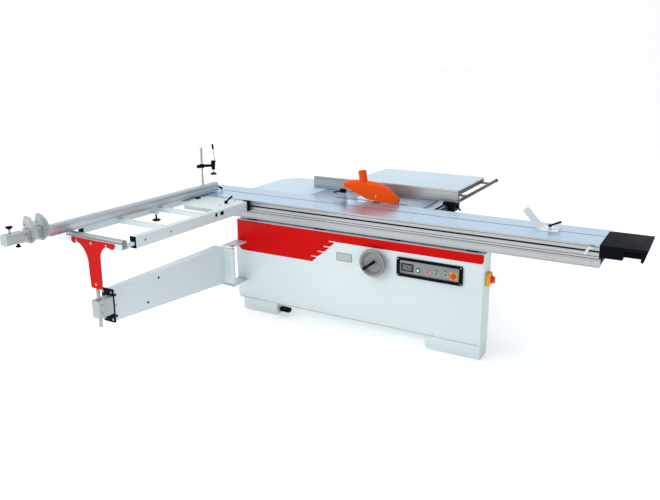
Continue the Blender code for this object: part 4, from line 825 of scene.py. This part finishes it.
# ---------------------------------------------------------------- saw unit and guard
def saw_unit():
    for node, ease in (
            ("tilt_frame", 0.0012), ("saw_carriage", 0.0012), ("scoring_unit", 0.0012), ("drive_belt", 0.0006),
            ("riving_knife", 0.0005), ("main_arbor", 0.0005), ("motor_pulley", 0.0008)):
        refined(node, ease)
    centre = Vector((-0.25, 0.5603, 0.50))
    body = turned([(0.0136, 0), (0.068, 0), (0.070, 0.002), (0.070, 0.008), (0.080, 0.010), (0.080, 0.176),
                   (0.0845, 0.178), (0.0850, 0.182), (0.0850, 0.200), (0.082, 0.214), (0.074, 0.224),
                   (0.0, 0.225), (0.0, 0.014), (0.0136, 0.014)], centre, Y, 80)
    terminals = block((-0.29, 0.6203, 0.570), (-0.21, 0.7203, 0.605))
    piece("motor_body", "main_motor", "motor_grey", [body, terminals], 0.0015, instead=["main_motor"])
    fins = []
    for step in range(40):
        angle = math.tau * step / 40
        if abs(angle - math.pi / 2) < 0.55:
            continue
        out = Vector((math.cos(angle), 0, math.sin(angle)))
        side = Vector((-out.z, 0, out.x)) * 0.0012
        ring = [centre + out * r + side * s
                for r, s in ((0.0785, -1), (0.0848, -0.7), (0.0848, 0.7), (0.0785, 1))]
        fins.append(lofted([[p + Y * d for p in ring] for d in (0.016, 0.172)]))
    piece("motor_fins", "main_motor", "motor_grey", fins)
    for node, hub, radius, teeth, bore in (("main_blade", (-0.25, CUT_Y, 0.794), 0.150, 36, 0.015),
                                           ("scoring_blade", (-0.02, CUT_Y, 0.8265), 0.060, 20, 0.0)):
        outline = []
        for tooth in range(teeth):
            start = math.tau * tooth / teeth
            for share, depth in ((0.0, 0.0012), (0.10, 0.0018), (0.30, 0.0040), (0.46, 0.0085),
                                 (0.58, 0.0112), (0.70, 0.0116), (0.80, 0.0095), (0.90, 0.0052)):
                angle = start + math.tau * share / teeth
                reach = radius - depth * radius / 0.150
                outline.append((hub[0] + reach * math.cos(angle), hub[2] + reach * math.sin(angle)))
        plate = prism(outline, "Y", hub[1] - 0.0012, hub[1] + 0.0012)
        holes = []
        if bore:
            holes = [rod((hub[0], 0.30, hub[2]), (hub[0], 0.42, hub[2]), bore, crown=0.0)]
            for turn in range(4):
                angle = math.tau * (turn + 0.125) / 4
                out = Vector((math.cos(angle), 0, math.sin(angle)))
                at = Vector(hub) + out * 0.090
                holes.append(rod(at - Y * 0.02, at + Y * 0.02, 0.0065, crown=0.0))
        solids = [plate]
        if not bore:
            solids.append(turned([(0, -0.006), (0.0105, -0.006), (0.011, -0.0055), (0.011, 0.0), (0.020, 0.0),
                                  (0.020, 0.011), (0.019, 0.012), (0.0100, 0.012), (0.0100, 0.118),
                                  (0.018, 0.118), (0.018, 0.136), (0, 0.136)], hub, Y))
        piece(node + "_plate", node, "chrome", solids, 0.0, 2, holes, instead=[node])
        tips = shown(node + "_tips", grown(TIPS, {
            "Teeth": teeth, "Radius": radius - 0.0026, "Tip": (0.0046, 0.0026, 0.0031)}))
        tips.data.transform(Matrix.Translation(hub))
        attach(tips, BODY_OF[node])
    piece("arbor_nut", "main_arbor", "steel",
          [turned([(0, -0.0165), (0.0118, -0.0165), (0.0118, -0.0112), (0, -0.0112)], (-0.25, CUT_Y, 0.794),
                  Y, 6)])


HOOD = (  # along the cut, crown, hem on the operator's side, half width
    (-0.485, 0.996, 0.990, 0.014), (-0.450, 1.014, 0.976, 0.024), (-0.400, 1.030, 0.958, 0.030),
    (-0.320, 1.038, 0.928, 0.032), (-0.240, 1.036, 0.900, 0.032), (-0.170, 1.026, 0.893, 0.030),
    (-0.100, 0.998, 0.890, 0.026), (-0.040, 0.958, 0.889, 0.019), (-0.005, 0.920, 0.889, 0.011),
)


def hood_rows(steps):
    """The hood's sections along a smooth curve through the table of HOOD."""
    rows = []
    for i in range(len(HOOD) - 1):
        before, here, there, after = (HOOD[max(0, min(len(HOOD) - 1, i + k))] for k in (-1, 0, 1, 2))
        for step in range(steps):
            t = step / steps
            rows.append([0.5 * (2 * b + (c - a) * t + (2 * a - 5 * b + 4 * c - d) * t ** 2
                                + (3 * b - a - 3 * c + d) * t ** 3)
                         for a, b, c, d in zip(before, here, there, after)])
    rows.append(list(HOOD[-1]))
    return rows


def hood_section(x, crown, hem, half, wall):
    """A round-shouldered arch, its far side cut higher."""
    far = max(hem, TABLE_TOP + half + 0.006)
    rise = min(half * 1.05, (crown - far) * 0.9)
    thin, inner_rise, spring = half - wall, max(rise - wall, 0.0005), crown - rise
    turns = [math.pi * i / 20 for i in range(21)]
    outer = [(-half * math.cos(t), spring + rise * math.sin(t)) for t in turns]
    inner = [(thin * math.cos(t), spring + inner_rise * math.sin(t)) for t in turns]
    outer = [(-half, hem)] + outer + [(half, far)]
    inner = [(thin, far)] + inner + [(-thin, hem)]
    return [(x, CUT_Y + y, z) for y, z in outer + inner]


def guard():
    wall, sections = 0.0025, hood_rows(6)
    shell = lofted([hood_section(*section, wall) for section in sections])
    ends = []
    for section, inset in ((sections[0], 0.0), (sections[-1], -wall)):
        loop = [(y, z) for _, y, z in hood_section(*section, wall)[:23]]
        ends.append(prism(loop, "X", section[0] + inset, section[0] + inset + wall))
    bead = []
    for x, _, hem, half in sections:
        near, far = CUT_Y - half - 0.0010, CUT_Y - half + 0.0030
        bead.append([(x, near, hem + 0.0004), (x, far, hem + 0.0004), (x, far, hem + 0.0050),
                     (x, near, hem + 0.0050)])
    foot, mouth = Vector((-0.298, CUT_Y, 1.0285)), Vector((-0.312, CUT_Y, 1.1116))
    length = (mouth - foot).length
    spout = turned([(0.0270, -0.004), (0.0325, -0.004), (0.0306, 0.004), (0.0300, 0.012),
                    (0.0306, length - 0.010), (0.0312, length - 0.004), (0.0314, length - 0.001),
                    (0.0305, length), (0.0285, length), (0.0278, length - 0.002), (0.0268, 0.012)],
                   foot, mouth - foot, 72)
    piece("hood_shell", "guard_hood", "guard_orange", [shell, lofted(bead), spout] + ends,
          instead=["guard_hood"])
    points = [((-0.462, CUT_Y - 0.0222, 0.990), -Y), ((-0.180, CUT_Y - 0.0302, 0.930), -Y)]
    fixings("hood_screws", "guard_hood", STEEL_BOLTS, points, 0.0045, 0.0030)
    clamp = block((-0.500, 0.351, 0.925), (-0.452, 0.371, 0.955))
    slit = block((-0.4840, 0.3584, 0.91), (-0.440, 0.3637, 0.97))
    cheek = block((-0.492, 0.3655, 0.95), (-0.4545, 0.3705, 0.978))
    piece("clamp_block", "guard_clamp", "black_plastic", [clamp, cheek], 0.0012, 3, [slit],
          instead=["guard_clamp"])
    hub = rod((-0.478, 0.352, 0.940), (-0.478, 0.337, 0.940), 0.0065)
    lever = rod((-0.440, 0.338, 0.953), (-0.543, 0.334, 0.9265), 0.0042, 0.0060)
    piece("clamp_handle", "guard_clamp", "black_plastic",
          [hub, lever, ball((-0.5415, 0.334, 0.9269), 0.0066)])


# ---------------------------------------------------------------- outrigger and swing arm
def outrigger():
    refined("outrigger_frame", 0.0028, 3)
    far, near, outer = -1.575, -1.055, -1.24
    caps = [block((near - 0.0505, outer - 0.0030, 0.8045), (near + 0.0005, outer + 0.0005, 0.8805)),
            block((far - 0.0005, outer - 0.0030, 0.8415), (far + 0.0505, outer + 0.0005, 0.8805))]
    piece("tube_caps", "outrigger_frame", "black_plastic", caps, 0.0012, 3)
    mouths = []
    for y, half in ((-0.462, 0.011), (-0.398, 0.018)):
        mouths.append(block((near - 0.0004, y - half, 0.842), (near + 0.0016, y + half, 0.868)))
    piece("tube_mouths", "outrigger_frame", "black_plastic", mouths, 0.0007)
    inner = -0.0625
    band = [block((near - 0.0506, inner - 0.040, 0.8044), (near + 0.0012, inner - 0.0002, 0.8812))]
    piece("inner_cap", "outrigger_frame", "black_plastic", band, 0.0020, 3)
    knob = star_knob((far + 0.090, -0.62, 0.7915), Z, 0.0315, 0.0172)
    collar = rod((far + 0.090, -0.62, 0.8065), (far + 0.090, -0.62, 0.8455), 0.0068)
    piece("outrigger_knob", "outrigger_frame", "black_plastic", [knob, collar])
    piece("plate_knob", "outrigger_frame", "black_plastic",
          [star_knob((-1.470, -0.178, 0.8755), Z, 0.0220, 0.0125)])
    points = [((near + 0.0001, y, 0.8425), X) for y in (-0.105, -0.93, -1.16)]
    points += [((x, y, 0.8762), Z) for x in (-1.47, -1.17) for y in (-0.10, -0.28)]
    fixings("outrigger_bolts", "outrigger_frame", STEEL_BOLTS, points, 0.0060, 0.0036)
    points = [((x, y, 0.8762), Z) for y in (-0.93, -0.54) for x in (-1.505, -1.125)]
    fixings("rung_screws", "outrigger_frame", SCREWS, points, 0.0050, 0.0016)
    low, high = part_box("end_roller")
    y, z = (low[1] + high[1]) / 2, (low[2] + high[2]) / 2
    radius, left, right = (high[2] - low[2]) / 2, low[0] + 0.008, high[0] - 0.008
    tube = turned([(0.0062, 0.0), (radius - 0.0015, 0.0), (radius, 0.0015), (radius, right - left - 0.0015),
                   (radius - 0.0015, right - left), (0.0062, right - left)], (left, y, z), X, 72)
    shaft = rod((left - 0.008, y, z), (right + 0.008, y, z), 0.0060)
    piece("roller_tube", "end_roller", "anodised", [tube], instead=["end_roller"])
    plugs = [turned([(0.0062, 0.0), (radius - 0.003, 0.0), (radius - 0.003, -0.0022), (0.0062, -0.0030)],
                    (left, y, z), X),
             turned([(0.0062, 0.0), (radius - 0.003, 0.0), (radius - 0.003, 0.0022), (0.0062, 0.0030)],
                    (right, y, z), X)]
    piece("roller_plugs", "end_roller", "wheel_grey", plugs)
    piece("roller_shaft", "end_roller", "steel", [shaft])
    low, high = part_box("outrigger_lever")
    x, y, z = -1.17, -0.205, low[2]
    handle("outrigger_handle", "outrigger_lever", ((x, y, z), (x, y, z + 0.020), 0.0130),
           ((x, y, z + 0.012), (x + 0.02, y + 0.045, z + 0.047), 0.0056, 0.0078),
           ((x + 0.0195, y + 0.0440, z + 0.0455), 0.0084))
    low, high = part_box("arm_bracket")
    x, top, foot = POST_X, high[2], low[2]
    outline = [(x - 0.195, top), (x - 0.195, top - 0.028), (x - 0.175, top - 0.040)]
    outline += arc((x - 0.205, 0.700), 0.150, 62, 8, 24)
    outline += [(x - 0.050, foot + 0.012)] + arc((x - 0.038, foot + 0.012), 0.012, 190, 270, 6)
    outline += arc((x + 0.036, foot + 0.012), 0.012, 270, 350, 6)
    outline += arc((x + 0.140, 0.745), 0.090, 180, 105, 24)
    outline += [(x + 0.168, top - 0.038), (x + 0.182, top - 0.020), (x + 0.182, top)]
    piece("bracket_plate", "arm_bracket", "panel_red", [prism(outline, "Y", low[1], high[1])], 0.0012, 3,
          instead=["arm_bracket"])
    points = [((x + dx, low[1], top - 0.019), -Y) for dx in (-0.145, -0.015, 0.120)]
    points += [((x, low[1], foot + 0.030), -Y)]
    fixings("bracket_bolts", "arm_bracket", STEEL_BOLTS, points, 0.0068, 0.0042)


def swing_arm():
    refined("swing_arm", 0.0022, 3)
    refined("hinge_bracket", 0.0012)
    low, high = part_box("hinge_bracket")
    pin_x, pin_y = -1.105, -0.240
    heads = [rod((pin_x, pin_y, high[2] - 0.006), (pin_x, pin_y, high[2] - 0.0002), 0.0150),
             rod((pin_x, pin_y, low[2] + 0.0002), (pin_x, pin_y, low[2] + 0.006), 0.0150)]
    piece("pin_heads", "hinge_bracket", "steel", heads)
    points = [((low[0], y, z), -X) for y in (-0.050, 0.010) for z in (0.290, 0.400, 0.510)]
    fixings("hinge_bolts", "hinge_bracket", STEEL_BOLTS, points, 0.0075, 0.0046)
    way = Vector((0.9966, -0.0821, 0.0))
    inner, outer = Vector((-1.180, -0.255, 0.0)), Vector((-1.264, -1.275, 0.0))
    plug = [(0, -0.001), (0.0085, -0.001), (0.0085, 0.0012), (0.0070, 0.0026), (0, 0.0030)]
    rivet = [(0, -0.001), (0.0080, -0.001), (0.0080, 0.0010), (0.0050, 0.0026), (0, 0.0030)]
    piece("arm_plugs", "swing_arm", "black_plastic",
          [turned(plug, inner.lerp(outer, share) + Z * z, way)
           for share, z in ((0.624, 0.4825), (0.728, 0.3341), (0.983, 0.4677), (0.983, 0.3238))])
    piece("arm_rivet", "swing_arm", "steel", [turned(rivet, inner.lerp(outer, 0.983) + Z * 0.3938, way)])
    low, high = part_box("arm_tube")
    y = -1.2753
    outline = rounded(-1.352, 0.286, -1.250, 0.514, 0.006)
    piece("arm_flange", "arm_tube", "black_plastic", [prism(outline, "Y", y - 0.012, y - 0.001)], 0.0012, 3,
          instead=["arm_tube"])
    tube = block((-1.320, y - 0.002, 0.340), (-1.276, -0.335, 0.470))
    splay = Matrix.Rotation(math.radians(-4.4), 3, "Z")
    bmesh.ops.rotate(tube, cent=(-1.298, y, 0.4), matrix=splay, verts=tube.verts)
    piece("arm_slide", "arm_tube", "steel", [tube], 0.0030, 3)
    x, py = POST_X, POST_Y
    clamp = prism(rounded(x - 0.036, py - 0.034, x + 0.036, y - 0.010, 0.014), "Z", 0.355, 0.470)
    piece("post_block", "arm_tube", "cast_light", [clamp], 0.0025, 3)
    post = rod((x, py, low[2]), (x, py, high[2] - 0.0002), 0.0120)
    thread = [(0.0115, 0), (0.0150, 0.001), (0.0165, 0.004), (0.0165, 0.012), (0.0150, 0.015), (0.0115, 0.016)]
    threads = [turned(thread, (x, py, z), Z, 6) for z in (0.4702, 0.3388)]
    piece("arm_post", "arm_tube", "steel", [post] + threads)
    points = [((sx, y - 0.012, z), -Y) for sx in (-1.338, -1.264) for z in (0.308, 0.492)]
    fixings("flange_bolts", "arm_tube", STEEL_BOLTS, points, 0.0062, 0.0038)
    points = [((x + 0.036, py - 0.006, z), X) for z in (0.385, 0.440)]
    fixings("block_bolts", "arm_tube", STEEL_BOLTS, points, 0.0062, 0.0038)


# ---------------------------------------------------------------- crosscut fence
def crosscut_fence():
    refined("crosscut_fence", 0.0008, finish="fence_grain")
    low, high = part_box("crosscut_fence")
    face, top, outer, inner = high[0], 0.956, low[1], high[1]
    tape = [block((face - 0.0125, outer + 0.004, top - 0.0003), (face - 0.0060, inner - 0.004, top + 0.0004))]
    piece("fence_scale", "crosscut_fence", "signal_white", tape)
    row("scale_marks", "crosscut_fence", DARK_ROW, 158, (face - 0.0078, outer + 0.015, top + 0.0005),
        (0, 0.010, 0), (0.0030, 0.0007, 0.0003), "black_plastic")
    row("scale_long_marks", "crosscut_fence", DARK_ROW, 32, (face - 0.0093, outer + 0.015, top + 0.0005),
        (0, 0.050, 0), (0.0060, 0.0009, 0.0003), "black_plastic")
    # two dark lines along the fence face: painted shade
    lines = [block((face - 0.0004, outer + 0.001, z - 0.0009), (face + 0.00025, inner - 0.001, z + 0.0009))
             for z in (0.902, 0.937)]
    piece("fence_shade_lines", "crosscut_fence", "dark_gap", lines)
    hook = [rod((face - 0.030, inner - 0.004, 0.925), (face - 0.030, inner + 0.032, 0.925), 0.0045),
            rod((face - 0.030, inner + 0.030, 0.925), (face - 0.012, inner + 0.036, 0.912), 0.0045)]
    piece("fence_catch", "crosscut_fence", "steel", hook)
    piece("catch_knob", "crosscut_fence", "black_plastic",
          [rod((face - 0.016, inner + 0.034, 0.9145), (face + 0.014, inner + 0.043, 0.900), 0.0075, 0.0090)])
    cap = block((face - 0.0556, inner - 0.001, 0.8895), (face + 0.0004, inner + 0.0030, 0.9565))
    piece("fence_cap", "crosscut_fence", "black_plastic", [cap], 0.0012, 3)
    points = [((face - 0.0225, y, 0.9432), Z) for y in (-0.42, -0.10, 0.055)]
    fixings("fence_nuts", "crosscut_fence", STEEL_BOLTS, points, 0.0055, 0.0040)
    low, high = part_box("fence_extension")
    back = FENCE_BACK
    bar = block((back + 0.005, -1.72, 0.897), (face - 0.005, -0.72, 0.938))
    piece("extension_bar", "fence_extension", "fence_grain", [bar], 0.0015, 3, instead=["fence_extension"])
    end = prism(rounded(back - 0.004, 0.900, face + 0.006, 0.968, 0.014), "Y", low[1], -1.700)
    piece("extension_block", "fence_extension", "cast_light", [end], 0.0035, 4)
    x = face - 0.026
    screw = rod((x, -1.775, 0.958), (x, -1.775, 0.998), 0.0060)
    piece("extension_screw", "fence_extension", "steel", [screw])
    piece("extension_knob", "fence_extension", "black_plastic",
          [star_knob((x, -1.775, 0.9955), Z, 0.0210, 0.0165)])
    under = [rod((x + 0.010, -1.735, 0.9015), (x + 0.010, -1.735, 0.8880), 0.0075),
             star_knob((x + 0.010, -1.735, 0.8905), -Z, 0.0160, 0.0140)]
    piece("extension_under_knob", "fence_extension", "black_plastic", under)
    collars = []
    for y in STOPS.values():
        collars.append(block((back - 0.006, y - 0.014, 0.884), (face + 0.006, y + 0.014, 0.970)))
        collars.append(block((back - 0.004, y + 0.0065, 0.936), (back + 0.018, y + 0.0135, 1.002)))
    piece("stop_collars", "fence_extension", "cast_light", collars, 0.0022, 3)
    points = [((face + 0.006, y, 0.928), X) for y in STOPS.values()]
    fixings("collar_bolts", "fence_extension", STEEL_BOLTS, points, 0.0060, 0.0040)
    for node, y in STOPS.items():
        sx, sz = face - 0.026, 0.964
        hinge = (back + 0.007, y, 0.992)
        outline = [(sx - 0.032, sz + 0.030), (sx - 0.030, sz + 0.050), (sx - 0.014, sz + 0.085)]
        outline += arc((sx + 0.004, sz), 0.082, 70, -65, 36)
        outline += [(sx + 0.034, sz - 0.069), (sx + 0.034, sz + 0.0115), (sx - 0.032, sz + 0.0115)]
        outline = [point for i, point in enumerate(outline) if point != outline[i - 1]]
        plate = prism(outline, "Y", y - 0.0060, y + 0.0060)
        web = arc((sx + 0.004, sz), 0.074, 60, -58, 24) + arc((sx + 0.004, sz), 0.060, -58, 60, 24)
        well = [prism(web, "Y", y - 0.0100, y - 0.0035), prism(web, "Y", y + 0.0035, y + 0.0100)]
        piece(node + "_plate", node, "cast_light", [plate], 0.0012, 3, well,
              instead=[node])
        barrel = rod((hinge[0], y - 0.010, hinge[2]), (hinge[0], y + 0.0060, hinge[2]), 0.0090)
        piece(node + "_barrel", node, "steel", [barrel])


def hold_down():
    low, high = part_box("hold_down_post")
    face = FENCE_FACE
    post_x, post_y = face - 0.077, 0.0
    post = rod((post_x, post_y, 0.896), (post_x, post_y, high[2]), 0.0100)
    foot = block((post_x - 0.018, -0.018, low[2]), (face - 0.0553, 0.018, 0.914))
    piece("clamp_post", "hold_down_post", "chrome", [post], instead=["hold_down_post"])
    piece("clamp_foot", "hold_down_post", "wheel_grey", [foot], 0.0030, 3)
    head = Vector((face - 0.008, 0.058, 1.100))
    hub = turned([(0.0104, 1.085), (0.0180, 1.085), (0.0190, 1.087), (0.0190, 1.113), (0.0180, 1.115),
                  (0.0104, 1.115)], (post_x, post_y, 0), Z)
    start = Vector((post_x, post_y, 1.100))
    way = (head - start).normalized()
    arm = rod(start + way * 0.014, head - way * 0.006, 0.0115, 0.0105)
    knob = star_knob((post_x, post_y - 0.024, 1.100), -Y, 0.0150, 0.026)
    stem = rod((post_x, post_y - 0.016, 1.100), (post_x, post_y - 0.030, 1.100), 0.0060)
    body = turned([(0.0060, -0.032), (0.0130, -0.032), (0.0140, -0.030), (0.0140, -0.012), (0.0165, -0.006),
                   (0.0170, 0.030), (0.0160, 0.038), (0.0140, 0.040), (0.0, 0.040), (0.0, 0.005),
                   (0.0060, 0.005)], head, Z)
    piece("clamp_arm", "hold_down_arm", "black_plastic", [hub, arm, knob, stem, body],
          instead=["hold_down_arm"])
    plunger = rod(head + Z * -0.062, head + Z * -0.002, 0.0054)
    pad = turned([(0, 0), (0.0245, 0), (0.0260, 0.0012), (0.0260, 0.0040), (0.0235, 0.0065), (0.0200, 0.0118),
                  (0.0130, 0.0125), (0.0085, 0.0160), (0, 0.0160)], head + Z * -0.072, Z)
    piece("clamp_pad", "hold_down_pad", "rubber", [pad], instead=["hold_down_pad"])
    piece("clamp_plunger", "hold_down_pad", "chrome", [plunger])
    pivot = head + Vector((0, 0.0195, 0.030))
    boss = rod(pivot + Y * -0.002, pivot + Y * 0.008, 0.0100)
    lever = rod(pivot + Y * 0.004, pivot + Vector((-0.018, 0.004, 0.128)), 0.0035)
    grip = turned([(0, 0), (0.0060, 0), (0.0080, 0.004), (0.0074, 0.018), (0.0080, 0.034), (0.0066, 0.042),
                   (0, 0.0430)], pivot + Vector((-0.0135, 0.004, 0.0960)), Vector((-0.0060, 0, 0.043)))
    piece("clamp_lever", "hold_down_lever", "chrome", [boss, lever], instead=["hold_down_lever"])
    piece("clamp_grip", "hold_down_lever", "black_plastic", [grip])


# ---------------------------------------------------------------- rip fence
def rip_fence():
    refined("rip_fence", 0.0008)
    low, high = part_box("rip_fence")
    # two dark lines along the fence face: painted shade
    lines = [block((low[0] + 0.001, low[1] - 0.0002, z - 0.0010),
                   (high[0] - 0.001, low[1] + 0.0004, z + 0.0010))
             for z in (0.901, 0.962)]
    piece("rip_fence_shade_lines", "rip_fence", "dark_gap", lines)
    caps = [block((x - 0.0006, low[1] + 0.001, low[2] + 0.001),
                  (x + 0.0006, low[1] + 0.0115, high[2] - 0.001))
            for x in (low[0] + 0.0002, high[0] - 0.0002)]
    piece("rip_fence_caps", "rip_fence", "black_plastic", caps, 0.0003)
    refined("fence_carriage", 0.0040, 3)
    low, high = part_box("fence_lever")
    pivot = Vector((low[0], 0.64, 0.850))
    handle("fence_handle", "fence_lever", (pivot, pivot + X * 0.012, 0.0100),
           (pivot + X * 0.007, pivot + Vector((0.049, -0.059, -0.0118)), 0.0048, 0.0070),
           (pivot + Vector((0.0485, -0.0585, -0.0116)), 0.0074))


# ---------------------------------------------------------------- studio
def camera():
    """Stands at the operator's front left and looks down the machine."""
    az, pitch, roll = -0.5302199, 0.2456043, -0.0064751
    ahead = Vector((math.sin(az) * math.cos(pitch), math.cos(az) * math.cos(pitch), -math.sin(pitch)))
    right = Vector((math.cos(az), -math.sin(az), 0))
    up = right.cross(ahead)
    side = right * math.cos(roll) + up * math.sin(roll)
    above = up * math.cos(roll) - right * math.sin(roll)
    lens = bpy.data.cameras.new("camera")
    lens.sensor_width = 36.0
    lens.lens = 37.6551
    lens.shift_x, lens.shift_y = 0.0020, -0.0453
    lens.clip_end = 200
    eye = shown("camera", lens)
    turn = Matrix((side, above, -ahead)).transposed().to_4x4()
    eye.matrix_world = Matrix.Translation((2.061589, -4.192549, 2.013194)) @ turn
    bpy.context.scene.camera = eye


def light(name, at, size, power):
    """A rectangular lamp that faces the middle of the machine."""
    lamp = bpy.data.lights.new(name, "AREA")
    lamp.shape = "RECTANGLE"
    lamp.size, lamp.size_y = size
    lamp.energy = power
    way = Vector((0, 0.1, 0.5)) - Vector(at)
    turn = way.to_track_quat("-Z", "Y").to_matrix().to_4x4()
    shown(name, lamp).matrix_world = Matrix.Translation(at) @ turn


class Sky(Wiring):
    """Soft light all round, dimmer towards the machine's right end and overhead."""

    def __init__(self):
        self.world = bpy.data.worlds.new("studio")
        self.world.use_nodes = True
        self.tree = self.world.node_tree
        way = self.node("ShaderNodeTexCoord")
        right = self.node("ShaderNodeSeparateXYZ", None, {0: way}, output=0).between(-0.25, 0.9)
        upward = self.node("ShaderNodeSeparateXYZ", None, {0: way}, output=2).between(0.15, 1.0)
        dim = right * 0.62 + upward * 0.30
        colour = self.node("ShaderNodeMix", {"data_type": "RGBA"},
                           {0: dim, 6: (1.0, 1.0, 1.0, 1.0), 7: (0.16, 0.20, 0.24, 1.0)}, output=2)
        ground = self.tree.nodes["Background"]
        self.tree.links.new(colour.socket, ground.inputs[0])
        ground.inputs[1].default_value = 1.0


def studio():
    bpy.context.scene.world = Sky().world
    bpy.context.scene.view_settings.view_transform = "Standard"
    light("key", (-3.5, -6.0, 4.5), (3.0, 2.0), 110)
    light("overhead", (-0.5, 1.5, 6.5), (6.0, 4.0), 110)
    pale = Finish("pale_floor", (0.97, 0.97, 0.97), 0.9, Emission_Color=(1.0, 1.0, 1.0, 1.0),
                  Emission_Strength=0.30)
    pale.shade(pale.noise(0.6, 2.0), 0.985, 1.0)
    floor = as_object("floor", [block((-60, -60, -0.02), (60, 60, -0.0004))])
    floor.data.materials.append(pale.material)


for make in (camera, studio, cabinets, panel, isolator, handwheel, tables, extrusions, table_end, saw_unit,
             guard, outrigger, swing_arm, crosscut_fence, hold_down, rip_fence):
    make()
